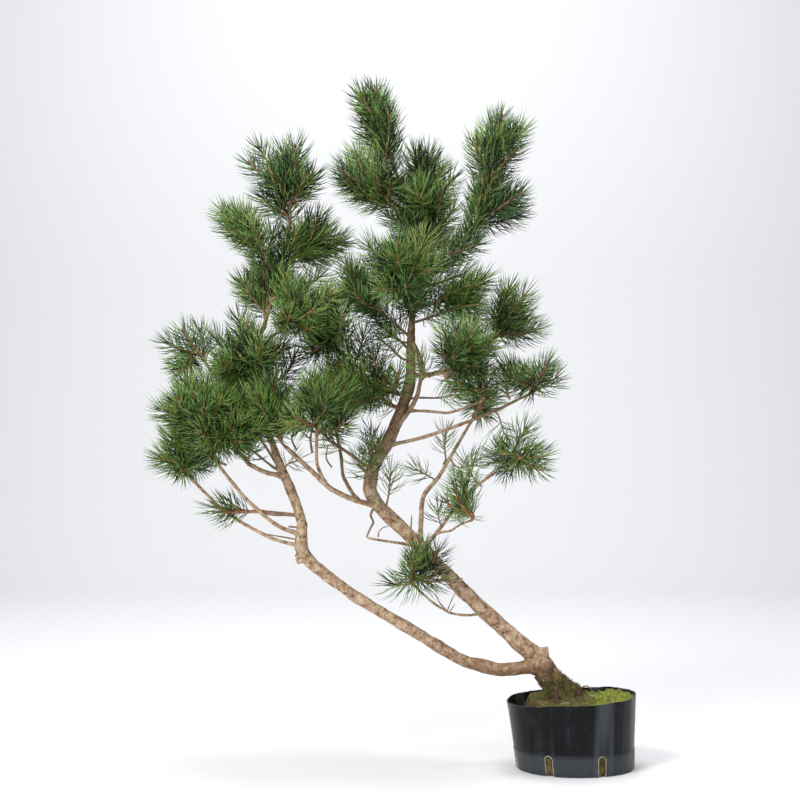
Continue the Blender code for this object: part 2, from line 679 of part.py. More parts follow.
def shoot_goals(number, seeded):
    """Tips and headings for a mass's shoots, evenly spread round the way that it leans."""
    _, _, _, centre, half, lean, count = FOLIAGE[number]
    centre = np.array(centre) * MM
    inner = np.maximum(np.array(half) * MM - SHOOT_INSET, 14 * MM)
    lead = unit(np.array(lean))
    side = unit(np.cross(lead, (0.3, 1, 0.2)))
    third = np.cross(lead, side)
    turn = seeded.uniform(0, 2 * math.pi)
    goals = []
    for k in range(count):
        level = 1 - SHOOT_FALL * k / count
        round_it = math.sqrt(max(0, 1 - level**2))
        around = turn + GOLDEN_ANGLE * k
        way = lead * level + (side * math.cos(around) + third * math.sin(around)) * round_it
        heading = unit(way * SHOOT_SPREAD + lead)
        goals.append((centre + inner * way, heading))
    return goals


def effort(way, heading):
    """The length of a way, made longer where a shoot with this heading would have to turn back."""
    return float(np.linalg.norm(way)) * TURNING_BACK - float(way @ heading)


def grow_twigs(number, crown, twigs):
    """Side twigs of a mass: each leaves the easiest bare wood and ends in a shoot."""
    name = FOLIAGE[number][0]
    seeded = random.Random(name)
    for tip, heading in shoot_goals(number, seeded)[1:]:
        places = []
        for path in twigs:
            bare = path[: max(2, len(path) - 3)]
            for start, end in zip(bare[:-1], bare[1:]):
                for share in (0.3, 0.7):
                    places.append((start + (end - start) * share, unit((end - start)[:3])))
        places.sort(key=lambda place: effort(tip - place[0][:3], heading))
        far = [p for p in places if np.linalg.norm(p[0][:3] - tip) > 0.7 * SHOOT_LENGTH]
        reach = far or places[-1:]
        for attempt in range(TRIES):
            row, along = reach[min(attempt // TRIES_AT_A_PLACE, len(reach) - 1)]
            bend = np.array([seeded.uniform(-1, 1) for _ in range(3)]) * TWIG_BEND * attempt
            outward = unit(unit(tip - row[:3]) + along * 0.6)
            path = twig_path(row[:3], outward, tip, heading, TWIG_RADIUS, bend)
            if crown.clear(with_bud(path), TWIG_ROOM, name):
                crown.take(with_bud(path), name, len(twigs))
                twigs.append(path)
                break


def grow_stem(number, crown, limbs):
    """The one stem of a mass, from its carrier to the shoot that reaches furthest."""
    name, carrier, height, centre, *_ = FOLIAGE[number]
    seeded = random.Random(name)
    foot, heading, straight = foot_of_mass(limbs, carrier, height, np.array(centre) * MM)
    tip, tip_heading = shoot_goals(number, seeded)[0]
    for attempt in range(TRIES):
        bend = np.array([seeded.uniform(-1, 1) for _ in range(3)]) * STEM_BEND * attempt
        onward = foot + heading * straight
        path = twig_path(onward, heading, tip, tip_heading, STEM_OF_MASS_RADIUS, bend)
        path = np.vstack([[*foot, STEM_OF_MASS_RADIUS], path])
        if crown.clear(with_bud(path), TWIG_ROOM, name, carrier=carrier):
            crown.take(with_bud(path), name, 0)
            return [path]
    raise ValueError(f"{name} has no clear way for its stem")


def twig_mesh(name, number, twig, path, crown, home, seeded):
    """One closed twig with three sides, whose faces along its shoot are drawn out to needles."""
    shape = bmesh.new()
    rings = []
    side = unit(np.cross(path[1, :3] - path[0, :3], (0.21, 0.9, 0.33)))
    first_band = len(path) - 1 - SHOOT_BANDS
    for row_number, row in enumerate(path):
        ahead = path[min(row_number + 1, len(path) - 1), :3] - path[max(row_number - 1, 0), :3]
        ahead = unit(ahead)
        side = unit(side - ahead * float(side @ ahead))
        across = np.cross(ahead, side)
        turn = SHOOT_TURN * max(0, row_number - first_band)
        ring = []
        for k in range(TWIG_SIDES):
            angle = turn + 2 * math.pi * k / TWIG_SIDES
            spoke = side * math.cos(angle) + across * math.sin(angle)
            ring.append(shape.verts.new(row[:3] + spoke * row[3]))
        rings.append(ring)
    shape.faces.new(list(reversed(rings[0])))
    bands = []
    for row_number, (lower, upper) in enumerate(zip(rings[:-1], rings[1:])):
        for k in range(TWIG_SIDES):
            after = (k + 1) % TWIG_SIDES
            face = shape.faces.new((lower[k], lower[after], upper[after], upper[k]))
            if row_number >= first_band:
                bands.append((face, row_number))
    end = shape.faces.new(rings[-1])
    shape.normal_update()
    for face, row_number in bands:
        ahead = unit(path[row_number + 1, :3] - path[row_number, :3])
        spread = NEEDLE_SPREAD + seeded.uniform(-SPREAD_PLAY, SPREAD_PLAY)
        way = np.array(face.normal) * math.sin(spread) + ahead * math.cos(spread)
        root = np.array(face.calc_center_median())
        reach = unit(way) * NEEDLE_LENGTH * seeded.uniform(*LENGTH_PLAY)
        for share in NEEDLE_SHARES:
            tip = root + reach * share
            middle = root + reach * share * NEEDLE_ROOT
            needle = np.array([[*root, ROOT_ROOM], [*middle, NEEDLE_ROOM], [*tip, 0]])
            if crown.in_space(tip, number) and crown.clear(needle, NEEDLE_GAP, name, twig):
                crown.take(needle, name, twig)
                drawn = bmesh.ops.poke(shape, faces=[face])
                drawn["verts"][0].co = Vector(tip)
                break
    bud = bmesh.ops.poke(shape, faces=[end])
    bud["verts"][0].co = Vector(with_bud(path)[-1, :3])
    bmesh.ops.triangulate(shape, faces=shape.faces)
    mesh = bpy.data.meshes.new(name)
    shape.to_mesh(mesh)
    shape.free()
    piece = bpy.data.objects.new(name, mesh)
    home.objects.link(piece)
    return piece


def make_foliage(limbs, home, cutters):
    crown = Crown(limbs)
    grown = [grow_stem(number, crown, limbs) for number in range(len(FOLIAGE))]
    for number, twigs in enumerate(grown):
        grow_twigs(number, crown, twigs)
    for number, twigs in enumerate(grown):
        name = FOLIAGE[number][0]
        seeded = random.Random(name + " needles")
        pieces = [
            twig_mesh(name, number, twig, path, crown, home, seeded)
            for twig, path in enumerate(twigs)
        ]
        if pieces[1:]:
            combine(pieces[0], pieces[1:], "UNION")
        _, carrier, height, *_ = FOLIAGE[number]
        if height is not None:
            path = fattened(limbs.paths[carrier])
            combine(pieces[0], [tube("cutter", path, limbs.sides[carrier], cutters)], "DIFFERENCE")
        keep_main_body(pieces[0])
        finish(pieces[0], NEEDLES, 0.6, 60)


def main():
    clear_scene()
    home = new_collection("hook_pine")
    cutters = new_collection("cutters")
    make_pot(home, cutters)
    make_soil(home)
    limbs = make_limbs(home, cutters)
    make_foliage(limbs, home, cutters)


main()
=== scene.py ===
"""Looks of a young hook pine, grown slanting on two stems in its cut-down nursery pot.

Metres, +Z up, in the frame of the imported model. The tables of limbs and foliage are in millimetres.
"""

import math
import random

import bmesh
import bpy
import numpy as np
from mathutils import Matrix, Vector, noise


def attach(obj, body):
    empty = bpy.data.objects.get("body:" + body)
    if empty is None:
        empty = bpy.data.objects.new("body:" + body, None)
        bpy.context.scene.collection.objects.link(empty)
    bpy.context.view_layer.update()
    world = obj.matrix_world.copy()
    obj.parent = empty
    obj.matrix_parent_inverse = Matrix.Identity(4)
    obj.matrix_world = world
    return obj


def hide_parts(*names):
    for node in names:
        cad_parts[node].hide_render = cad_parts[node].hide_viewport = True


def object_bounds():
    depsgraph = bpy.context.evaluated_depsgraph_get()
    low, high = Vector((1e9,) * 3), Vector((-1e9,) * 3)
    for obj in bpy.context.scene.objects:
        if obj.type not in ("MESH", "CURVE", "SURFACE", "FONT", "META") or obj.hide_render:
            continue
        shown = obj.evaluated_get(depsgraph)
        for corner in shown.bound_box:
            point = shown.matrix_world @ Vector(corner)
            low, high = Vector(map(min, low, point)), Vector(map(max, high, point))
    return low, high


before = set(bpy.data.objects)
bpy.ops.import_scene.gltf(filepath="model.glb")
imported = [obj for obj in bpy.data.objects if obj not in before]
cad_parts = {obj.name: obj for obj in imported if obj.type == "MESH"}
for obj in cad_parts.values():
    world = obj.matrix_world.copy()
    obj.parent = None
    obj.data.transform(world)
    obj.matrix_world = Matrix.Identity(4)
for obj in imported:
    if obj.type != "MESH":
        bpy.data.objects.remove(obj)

cad_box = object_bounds()

MM = 0.001
GAP = 0.3 * MM
UP = np.array([0.0, 0.0, 1.0])
GOLDEN_ANGLE = math.pi * (3 - math.sqrt(5))
ASIDE = (0.21, 0.9, 0.33)  # a way that no limb or twig takes

# The camera stands at the photograph's viewpoint
CAMERA_PLACE = (-0.315, -3.5, 0.66)
LENS = 87.5

# The pot: its rim was cut by hand, a little higher on the right
POT_HEIGHT = 126 * MM
FOOT_RADIUS = 105 * MM
RIM_RADIUS = 116 * MM
POT_WALL = 2 * MM
POT_FLOOR = 3 * MM
POT_SIDES = 180
POT_LEAN = -7 * MM
RIM_TILT = 7 * MM
RIM_WAVE = 1.2 * MM
BAND_HEIGHT = 37 * MM
BAND_STEP = 0.8 * MM
SLOT_COUNT = 7
SLOT_WIDTH = 14.5 * MM
SLOT_TOP = 36 * MM
BURR_RADIUS = 0.75 * MM
BURR_SINK = 0.1 * MM
BURRS_VARY = (0.5, 1.2)
SLOT_FIRST_ANGLE = math.radians(-29.5)

# The soil: level round the trunk, sunk at the left wall, a mossy rise at the right wall
SOIL_LEVEL = 118 * MM
SOIL_SIDE_GAP = 1.3 * MM
SOIL_DIP = 24 * MM
SOIL_DIP_FROM = -72 * MM
SOIL_DIP_WIDTH = 20 * MM
MOSS_RISE = 9 * MM
MOSS_FROM = 48 * MM
MOSS_WIDTH = 28 * MM
MOUND_RISE = 12 * MM
MOUND_PLACE = (-14 * MM, -4 * MM)
MOUND_WIDTHS = (46 * MM, 38 * MM)
SOIL_SIDES = 200
SOIL_RINGS = 64

# Stems by a few points along their middle, mm: x, y, z, radius
TRUNK = (
    (-24, 0, 128, 19), (-36, 0, 149, 20), (-50, 0, 168, 19.5), (-66, 1, 193, 17.5),
    (-98, 2, 221, 15.3), (-121, 3, 242, 13.8), (-144, 5, 262, 13.7), (-206, 10, 321, 12.8),
    (-283, 15, 399, 12.7), (-311, 16, 428, 12.3), (-342, 18, 456, 12.5), (-362, 20, 480, 12.8),
    (-369, 20, 497, 12.8),
)
TRUNK_UPPER = (
    (-369, 20, 497, 12.4), (-363, 20, 539, 12), (-338, 20, 582, 11.5), (-311, 20, 646, 11),
    (-297, 18, 696, 9.8), (-295, 15, 759, 8), (-293, 15, 808, 6.2), (-279, 20, 870, 4.6),
    (-261, 20, 917, 3.2),
)
LEFT_STEM = (
    (-66, 0, 186, 12.4), (-96, -5, 179, 12.4), (-118, -9, 176.5, 12.3), (-141, -12, 177, 12.2),
    (-175, -16, 186, 11.6), (-210, -20, 198, 11.1), (-287, -28, 245, 10.4), (-388, -35, 306, 10),
    (-452, -38, 353, 10.6), (-475, -39, 372, 11.6), (-490, -40, 396, 11.6),
)
LEFT_STEM_UPPER = (
    (-490, -40, 396, 10.4), (-490, -40, 439, 9.6), (-506, -38, 491, 8.9), (-527, -35, 539, 8.5),
)
LEFT_LEADER = (
    (-527, -35, 539, 6.6), (-544, -30, 585, 6), (-567, -20, 631, 5.5), (-584, -10, 673, 5),
    (-583, 0, 723, 4.5), (-560, 10, 795, 3.6), (-531, 12, 892, 2.8), (-516, 10, 960, 2.2),
)
STEM_SPACING = 38 * MM
BOUGH_RINGS = 6
BARE_TWIG_HEIGHT = 389 * MM
BARE_TWIG_TIP = (-374, -15, 413)
BARE_TWIG_BOW = (4, -4, 1)
BARE_TWIG_RADII = (3.4, 2)

# Boughs, mm: name, limb that carries it, height there, tip, bow of its middle, radius at each end
BOUGHS = (
    ("bough_left_low", "left_stem_upper", 399, (-680, -80, 520), (0, -5, -22), 3.6, 2.6),
    ("bough_left_middle", "left_stem_upper", 420, (-663, -100, 588), (0, -10, -28), 4.2, 2.8),
    ("bough_left_side", "left_stem_upper", 524, (-630, -62, 611), (-6, -8, -20), 4.6, 3.2),
    ("bough_left_high", "left_leader", 640, (-655, -45, 718), (0, 0, -14), 3.2, 2.4),
    ("bough_middle", "trunk", 468, (-516, -75, 577), (2, -2, -22), 5.4, 4.2),
    ("bough_middle_front", "bough_middle", 512, (-461, -90, 588), (-6, -5, 0), 3.6, 2.6),
    ("bough_middle_rear", "bough_middle", 479, (-429, 60, 587), (-6, 5, -10), 4, 2.8),
    ("bough_upper_left", "trunk_upper", 642, (-420, -20, 740), (0, 0, -14), 3, 2.4),
    ("bough_side_stem", "trunk_upper", 604, (-231, -35, 710), (-10, 4, 16), 5.4, 2.6),
    ("bough_right_short", "bough_side_stem", 641, (-176, -40, 656), (7, -2, -10), 2.8, 2.2),
    ("bough_right_long", "trunk_upper", 577, (-84, -10, 670), (0, -4, -12), 3.8, 2.6),
    ("bough_right_high", "trunk_upper", 705, (-156, 40, 762), (0, 10, -15), 3.4, 2.4),
    ("bough_right_rear", "trunk", 395, (-180, 50, 630), (-28, -2, -4), 4.8, 2.8),
    ("bough_right_low", "trunk", 390, (-126, -40, 548), (-8, -6, 5), 3.8, 2.4),
    ("bough_right_thin", "bough_right_low", 420, (-192, -34, 444), (0, 0, -4), 2.4, 2),
    ("bough_low_front", "trunk", 277, (-287, -45, 328), (0, -8, -22), 2.6, 2.2),
    ("bough_crown_left", "trunk_upper", 900, (-315, 0, 1050), (6, -5, 10), 3.2, 2.4),
    ("bough_crown_right", "trunk_upper", 872, (-173, 30, 1010), (16, 5, -14), 3.6, 2.4),
)
BOUGH_KINK = 2.5
BOUGH_KNEES = {
    "bough_right_rear": ((-272, 22, 486), (-246, 30, 519)),
    "bough_side_stem": ((-299, 6, 640), (-284, 0, 668), (-276, -4, 698)),
}

# How a mass is clothed: needled length of a shoot and pitch of its pairs, mm, and the whorls of
# fine shoots that each twig carries, by their place from the foot of its shoot
FULL = (110, 1.45, (-0.1, 0.9))
PLUME = (190, 1.45, (-0.1, 0.9))
LOW = (150, 1.45, (-0.6, -0.1, 0.9))
SHORT = (84, 1.9, (-0.1,))
AIRY = (62, 2.7, (-0.1,))
SMALL = (38, 1.9, ())
STARRY = (84, 1.8, (-0.1, 0.9))

# Masses of foliage, mm: name, limb that carries it, height there or None for its tip, centre,
# half sizes, the way its shoots lean, how many shoots it has, and how it is clothed
MASSES = (
    ("top", "bough_crown_left", None, (-356, 0, 1148), (46, 46, 100), (-0.2, 0, 1), 5, PLUME),
    ("top_left", "bough_crown_left", 950, (-374, -34, 1050), (64, 60, 72), (-0.45, -0.2, 0.85), 5, PLUME),
    ("top_middle", "trunk_upper", None, (-268, 10, 1030), (64, 66, 98), (0.1, -0.1, 1), 6, PLUME),
    ("top_right", "bough_crown_right", None, (-138, 20, 1108), (44, 46, 94), (0.35, 0, 0.93), 5, PLUME),
    ("top_right_low", "bough_crown_right", 935, (-136, 52, 1028), (60, 56, 46), (0.8, 0.1, 0.6), 4, PLUME),
    ("front_high", "trunk_upper", 800, (-312, -98, 880), (72, 66, 86), (-0.1, -0.25, 1), 6, PLUME),
    ("shoulder_right", "trunk_upper", 820, (-205, -20, 846), (64, 60, 54), (0.7, 0, 0.65), 4, PLUME),
    ("right_high", "bough_right_high", None, (-112, 46, 810), (54, 50, 52), (0.7, 0.1, 0.7), 4, PLUME),
    ("shoulder_left", "trunk_upper", 770, (-392, -10, 854), (56, 56, 60), (-0.35, 0, 0.93), 4, PLUME),
    ("rear_high", "trunk_upper", 840, (-287, 138, 941), (94, 80, 108), (0, 0.45, 0.9), 4, PLUME),
    ("right_front", "bough_side_stem", None, (-212, -106, 744), (64, 62, 60), (0.3, -0.35, 0.9), 5, FULL),
    ("right_short", "bough_right_short", None, (-186, -50, 688), (54, 54, 48), (0.3, -0.1, 0.9), 3, SHORT),
    ("right_far", "bough_right_long", None, (-78, -10, 692), (56, 54, 54), (0.75, 0, 0.65), 5, FULL),
    ("right_rear", "bough_right_rear", None, (-162, 98, 664), (54, 56, 54), (0.3, 0.4, 0.85), 4, SHORT),
    ("right_low", "bough_right_low", None, (-110, -48, 558), (60, 56, 54), (0.8, -0.1, 0.45), 5, STARRY),
    ("right_thin", "bough_right_thin", None, (-214, -44, 470), (50, 48, 46), (0, -0.1, 1), 4, AIRY),
    ("centre", "bough_upper_left", None, (-434, -45, 782), (66, 64, 64), (-0.35, -0.1, 0.9), 4, LOW),
    ("centre_front", "trunk_upper", 665, (-378, -52, 684), (66, 66, 62), (-0.3, -0.3, 0.85), 4, FULL),
    ("centre_low", "trunk_upper", 545, (-352, 66, 564), (54, 56, 50), (-0.1, 0.3, 0.9), 3, AIRY),
    ("middle_front", "bough_middle_front", None, (-458, -124, 646), (74, 66, 76), (-0.1, -0.3, 0.9), 5, FULL),
    ("middle_rear", "bough_middle_rear", None, (-430, 110, 664), (70, 72, 78), (-0.1, 0.4, 0.9), 3, FULL),
    ("middle_left", "bough_middle", None, (-544, -98, 648), (66, 60, 72), (-0.3, -0.3, 0.85), 4, LOW),
    ("low_tuft", "bough_low_front", None, (-282, -66, 352), (54, 52, 50), (0, -0.2, 1), 4, STARRY),
    ("left_top", "left_leader", None, (-521, 0, 1056), (68, 60, 76), (-0.1, 0, 1), 5, PLUME),
    ("left_top_left", "left_leader", 880, (-602, -20, 968), (54, 54, 54), (-0.7, -0.1, 0.75), 3, PLUME),
    ("left_top_right", "left_leader", 890, (-468, 18, 952), (54, 54, 54), (0.65, 0, 0.8), 4, PLUME),
    ("left_upper", "left_leader", 800, (-566, 74, 862), (64, 66, 74), (-0.25, 0.4, 0.85), 4, PLUME),
    ("left_front", "left_leader", 745, (-492, -90, 810), (70, 68, 74), (0.2, -0.4, 0.85), 4, FULL),
    ("left_high", "bough_left_high", None, (-684, -55, 746), (54, 54, 66), (-0.5, -0.1, 0.85), 5, PLUME),
    ("left_far", "bough_left_middle", None, (-662, -112, 642), (66, 64, 66), (-0.6, -0.2, 0.75), 5, LOW),
    ("left_low_far", "bough_left_low", None, (-688, -86, 550), (66, 62, 56), (-0.95, 0, 0.3), 4, LOW),
    ("left_side", "bough_left_side", None, (-622, -112, 602), (72, 62, 66), (-0.35, -0.35, 0.85), 6, LOW),
    ("left_inner", "left_leader", 675, (-570, -76, 722), (72, 66, 76), (-0.2, -0.4, 0.95), 6, LOW),
    ("left_rear", "left_stem_upper", 498, (-620, 130, 660), (82, 80, 84), (-0.3, 0.5, 0.8), 4, FULL),
    ("left_tuft", "left_stem_upper", 453, (-620, -86, 468), (46, 44, 40), (-0.95, -0.2, 0.3), 3, SMALL),
)
FOLIAGE = [("foliage_" + name, *rest) for name, *rest in MASSES]

# The stem and the twigs of a mass: their thickness, and what shapes their curves
STEM_OF_MASS_RADIUS = 2.8 * MM
STEM_FOOT = 6 * MM
STEM_LIFT = 0.15
TWIG_RADIUS = 2.6 * MM
TWIG_TAPER = (0.95, 0.7)
TWIG_SPACING = 75 * MM
FOOT_PULL = 0.35
TIP_PULL = 0.4
ALONG_PULL = 0.6
CURVE_STEPS = 40
STEM_BEND = 6 * MM
TWIG_BEND = 4 * MM

# The shoots at the twigs' ends: where they end, how they point, and how long they are
SHOOT_SPREAD = 0.75
SHOOT_FALL = 1.7
SHOOT_INSET = 26 * MM
LEAST_INSET = 14 * MM
SHOOT_LENGTH = 84 * MM
MOST_SHOOT = 0.8
SHOOT_BANDS = 5
BUD_LENGTH = 26 * MM

# Where a twig leaves the bare wood, the room that it keeps, and how often its way is tried
TURNING_BACK = 1.6
LEAVING_SHARES = (0.3, 0.7)
NEAREST_FOOT = 0.7 * SHOOT_LENGTH
KIN_EASE = 4 * MM
TWIG_ROOM = 1 * MM
TRIES = 12
TRIES_AT_A_PLACE = 3

# Finer shoots that the solids leave out: each twig carries some, below its last length of growth
FINE_LENGTH = (50 * MM, 86 * MM)
FINE_SPREAD = math.radians(44)
FINE_RADIUS = 2.5 * MM
FINE_SLACK = 1.05
FINE_TRIES = 8
FINE_LEAN = 0.9
NODE_SCATTER = 0.3
LOWEST_NODE = 0.15

# Needles, in pairs: their size, and how they stand on a shoot
NEEDLE_LENGTH = 48 * MM
NEEDLE_RADIUS = 0.78 * MM
NEEDLE_FOOT = 0.7
NEEDLE_MIDDLE = 0.55
SPRAY_LENGTHS = (0.88, 1.06)
NEEDLE_LENGTHS = (0.82, 1.08)
TWIN_LENGTHS = (0.94, 1.04)
PAIR_SPREAD = math.radians(6)
BASE_SPREAD = math.radians(56)
TIP_SPREAD = math.radians(24)
SPREAD_CURVE = 2.4
SPREAD_SCATTER = 0.06
TURN_SCATTER = 0.18
GATHER = 0.35
GATHERED_LENGTH = 20 * MM
GATHERED_SHORTER = 0.12
ROOT_DEPTH = 0.8
NEEDLE_RISE = 0.05
FORWARD_BEND = 0.42
UPWARD_BEND = 0.06
BEND_SCATTER = 0.035
SPRAY_ROW = 6 * MM
FEWEST_PAIRS = 4
BARE_FOOT = 0.1
YEAR_LENGTH = 88 * MM
YEARS_VARY = (0.85, 1.15)
YEAR_CLAD = 0.82  # the share of a year's length that has needles, below it the shoot is bare
REACH_ROOM = 0.75 * NEEDLE_LENGTH
PAST_THE_BOX = 5 * MM
CLOTHED_PITCH = 0.9 * MM
CLOTHED_SPREAD = BASE_SPREAD * 0.9
TUFT_PITCH = 2.2 * MM
PLUME_PITCH = 1.5 * MM
SHORT_TUFT = 50 * MM
MOST_IN_A_PIECE = 190000
MOSTLY = 0.65  # the share of a light mass's sprays that is made light
LIGHT_MASSES = ("foliage_centre_low", "foliage_right_thin")

# Limbs that carry needles themselves, and the height above which they do
CLOTHED_LIMBS = (
    ("trunk_upper", 800 * MM), ("bough_crown_left", 900 * MM), ("bough_crown_right", 880 * MM),
    ("left_leader", 800 * MM), ("bough_right_high", 735 * MM),
)

# Needle greens, linear: the share of sprays that has each, and its colour. The darkest green is painted
# shade.
# In each spray some needles get it as painted shade and some get the light green as painted highlight, as
# those that lie in shade or shine
GREENS = (
    ("deep", 0.18, (0.007, 0.021, 0.006)),
    ("mid", 0.42, (0.104, 0.196, 0.030)),
    ("cool", 0.20, (0.076, 0.156, 0.054)),
    ("light", 0.18, (0.195, 0.300, 0.080)),
    ("yellow", 0.02, (0.225, 0.300, 0.070)),
)
# Shares of each spray's needles that get the darkest green as painted shade and the light green as painted
# highlight
PAINTED_SHADE_NEEDLES = 0.26
PAINTED_HIGHLIGHT_NEEDLES = 0.16

# Twigs that only the looks have, mm: their points, radius at each end, and the needled length
# of the tuft at the tip
SPARE_TWIGS = (
    (((-363, 18, 541), (-376, 10, 541), (-407, 0, 564), (-440, -8, 586), (-452, -10, 602)), 3.4, 2.2, 45),
    (((-295, 15, 764), (-308, 8, 764), (-322, 2, 770), (-338, -6, 781)), 2.4, 1.5, 40),
    (((-296, 15, 732), (-310, 4, 734), (-324, -4, 746), (-338, -10, 759), (-354, -14, 770)), 2.6, 1.6, 48),
    (((-305, 18, 668), (-322, 8, 670), (-342, 0, 676), (-362, -6, 686)), 2.4, 1.6, 30),
    (((-310, 20, 645), (-325, 10, 646), (-350, 4, 656)), 2.2, 1.5, 28),
    (((-358, 18, 474), (-368, 8, 452), (-363, 0, 441), (-371, -8, 424), (-375, -14, 414)), 2.4, 1.6, 0),
    (((-354, -12, 414), (-353, -12, 423), (-346, -14, 431), (-334, -14, 434)), 1.3, 0.8, 0),
    (((-342, 18, 458), (-338, 8, 477), (-335, 4, 492), (-333, 0, 516), (-331, -2, 532)), 2.0, 1.4, 46),
    (((-233, -36, 286), (-246, -44, 302), (-252, -48, 316)), 1.3, 0.8, 0),
    (((-231, -36, 284), (-222, -38, 306), (-217, -40, 316)), 1.1, 0.7, 0),
    (((-226, -34, 284), (-220, -38, 292), (-217, -42, 298)), 1.0, 0.6, 0),
    (((-374, -8, 716), (-400, -4, 724), (-429, 0, 757)), 2.2, 1.4, 42),
    (((-524, -35, 530), (-542, -34, 541), (-562, -36, 557), (-580, -40, 572)), 2.8, 1.8, 0),
    (((-521, -35, 535), (-516, -44, 545), (-498, -56, 552)), 2.0, 1.3, 24),
    (((-492, -40, 448), (-504, -44, 454), (-542, -50, 456), (-571, -54, 462)), 1.9, 1.1, 0),
    (((-492, -42, 408), (-503, -46, 413), (-552, -52, 422)), 1.8, 1.1, 0),
    (((-567, -20, 631), (-580, -20, 632), (-600, -24, 642), (-618, -28, 657)), 2.6, 1.6, 48),
    (((-222, 40, 552), (-214, 34, 540), (-196, 26, 538), (-169, 18, 555)), 2.0, 1.4, 40),
    (((-236, 35, 543), (-232, 30, 552), (-234, 28, 575), (-232, 26, 602)), 1.9, 1.3, 40),
    (((-150, -8, 642), (-139, -12, 633), (-131, -16, 608), (-122, -20, 588)), 1.7, 1.0, 36),
    (((-308, 20, 660), (-283, 24, 664), (-246, 26, 664), (-207, 28, 671)), 2.2, 1.5, 40),
    (((-361, 20, 545), (-364, -4, 552), (-364, -18, 574)), 1.9, 1.4, 34),
    (((-364, 22, 520), (-384, 24, 534), (-392, 22, 552)), 1.8, 1.2, 32),
    (((-252, 27, 516), (-268, 18, 525), (-288, 10, 536)), 1.7, 1.2, 34),
    (((-190, -22, 484), (-197, -28, 502), (-205, -32, 522)), 1.7, 1.1, 42),
    (((-170, -30, 506), (-186, -40, 524), (-196, -46, 546)), 1.7, 1.1, 38),
    (((-240, -8, 430), (-245, -16, 447), (-247, -22, 464)), 1.5, 1.0, 26),
    (((-222, -16, 448), (-210, -26, 452), (-200, -34, 464)), 1.5, 1.0, 26),
    (((-470, -62, 566), (-473, -66, 592), (-466, -72, 622)), 2.4, 1.6, 0),
    (((-472, -64, 590), (-486, -66, 602), (-498, -66, 622)), 1.6, 1.0, 0),
    (((-498, -70, 572), (-506, -66, 592), (-500, -62, 614)), 2.0, 1.2, 26),
    (((-436, -40, 540), (-446, -42, 556), (-443, -46, 580)), 1.8, 1.1, 0),
    (((-300, 4, 968), (-290, 4, 1010), (-288, 2, 1056), (-288, 0, 1104)), 2.6, 2.0, 130),
    (((-584, -8, 690), (-604, -10, 716), (-628, -12, 744), (-646, -14, 772)), 2.6, 2.0, 95),
    (((-402, -12, 720), (-388, -30, 744), (-380, -42, 776)), 2.2, 1.6, 56),
    (((-404, -14, 724), (-408, -34, 752), (-414, -48, 790)), 2.2, 1.6, 60),
    (((-296, 15, 748), (-320, 24, 772), (-350, 32, 796), (-366, 34, 822)), 2.6, 1.8, 70),
    (((-262, -20, 701), (-274, -36, 712), (-284, -48, 734)), 2.2, 1.6, 50),
    (((-290, 14, 800), (-262, -8, 808), (-232, -24, 818), (-208, -32, 824)), 2.6, 1.8, 84),
    (((-291, 14, 812), (-300, -20, 818), (-296, -52, 826), (-280, -74, 836)), 2.6, 1.8, 84),
    (((-546, 10, 842), (-522, 4, 852), (-488, 0, 862), (-456, -2, 884)), 2.4, 1.8, 88),
    (((-548, 11, 836), (-556, 14, 874), (-552, 14, 918), (-544, 12, 962)), 2.8, 2.0, 110),
    (((-276, -4, 696), (-277, -2, 718), (-281, 2, 740), (-292, 8, 764)), 4.6, 3.8, 0),
    (((-584, -6, 705), (-594, -6, 755), (-606, -6, 808)), 2.6, 2.0, 88),
    (((-584, -8, 680), (-552, -30, 688), (-520, -46, 704), (-500, -52, 738)), 2.6, 2.0, 88),
    (((-284, 16, 948), (-306, 0, 968), (-338, -14, 994)), 2.6, 2.0, 60),
    (((-280, 20, 862), (-244, 10, 872), (-198, 0, 888)), 2.6, 2.0, 96),
    (((-234, 24, 925), (-200, 10, 930), (-174, 4, 944)), 2.6, 2.0, 64),
    (((-118, -10, 662), (-124, -22, 676), (-128, -30, 702)), 2.2, 1.6, 50),
    (((-236, -36, 704), (-226, -48, 684), (-214, -58, 676)), 2.0, 1.5, 40),
    (((-620, -88, 546), (-648, -104, 560), (-668, -112, 584)), 2.4, 1.8, 70),
    (((-584, -60, 545), (-580, -84, 566), (-578, -100, 596)), 2.4, 1.8, 70),
    (((-368, 16, 505), (-372, -4, 520), (-371, -22, 544)), 2.0, 1.4, 34),
    (((-366, 14, 530), (-368, -10, 552), (-367, -24, 584)), 2.0, 1.4, 44),
)

# Small cones at the end of a side twig, mm: foot and end of each, and their radius at shares of
# their length
CONES = (
    ((-232, -42, 706), (-222, -46, 722)), ((-232, -42, 707), (-238, -50, 722)),
    ((-229, -44, 705), (-215, -56, 710)), ((-233, -42, 705), (-230, -60, 703)),
)
CONE_PROFILE = ((0, 2.2), (0.16, 5.4), (0.4, 7), (0.7, 6), (0.92, 3.2), (1, 1.2))


def unit(vector):
    return vector / np.linalg.norm(vector)


def units(rows):
    return rows / np.linalg.norm(rows, axis=1)[:, None]


def smooth_step(value):
    value = np.clip(value, 0, 1)
    return value * value * (3 - 2 * value)


# Limbs and twigs, by the rule that the solids follow


def smooth_path(guides, spacing):
    """Rows of x, y, z and radius in metres along a smooth curve through guide points in mm."""
    guides = np.array(guides, float) * MM
    ends = np.vstack([2 * guides[0] - guides[1], guides, 2 * guides[-1] - guides[-2]])
    rows = []
    for i in range(1, len(ends) - 2):
        before, start, end, after = ends[i - 1 : i + 3]
        steps = max(1, round(float(np.linalg.norm((end - start)[:3])) / spacing))
        for t in np.arange(steps) / steps:
            rows.append(
                0.5
                * (
                    2 * start
                    + (end - before) * t
                    + (2 * before - 5 * start + 4 * end - after) * t**2
                    + (3 * start - before - 3 * end + after) * t**3
                )
            )
    rows.append(ends[-2])
    return np.array(rows)


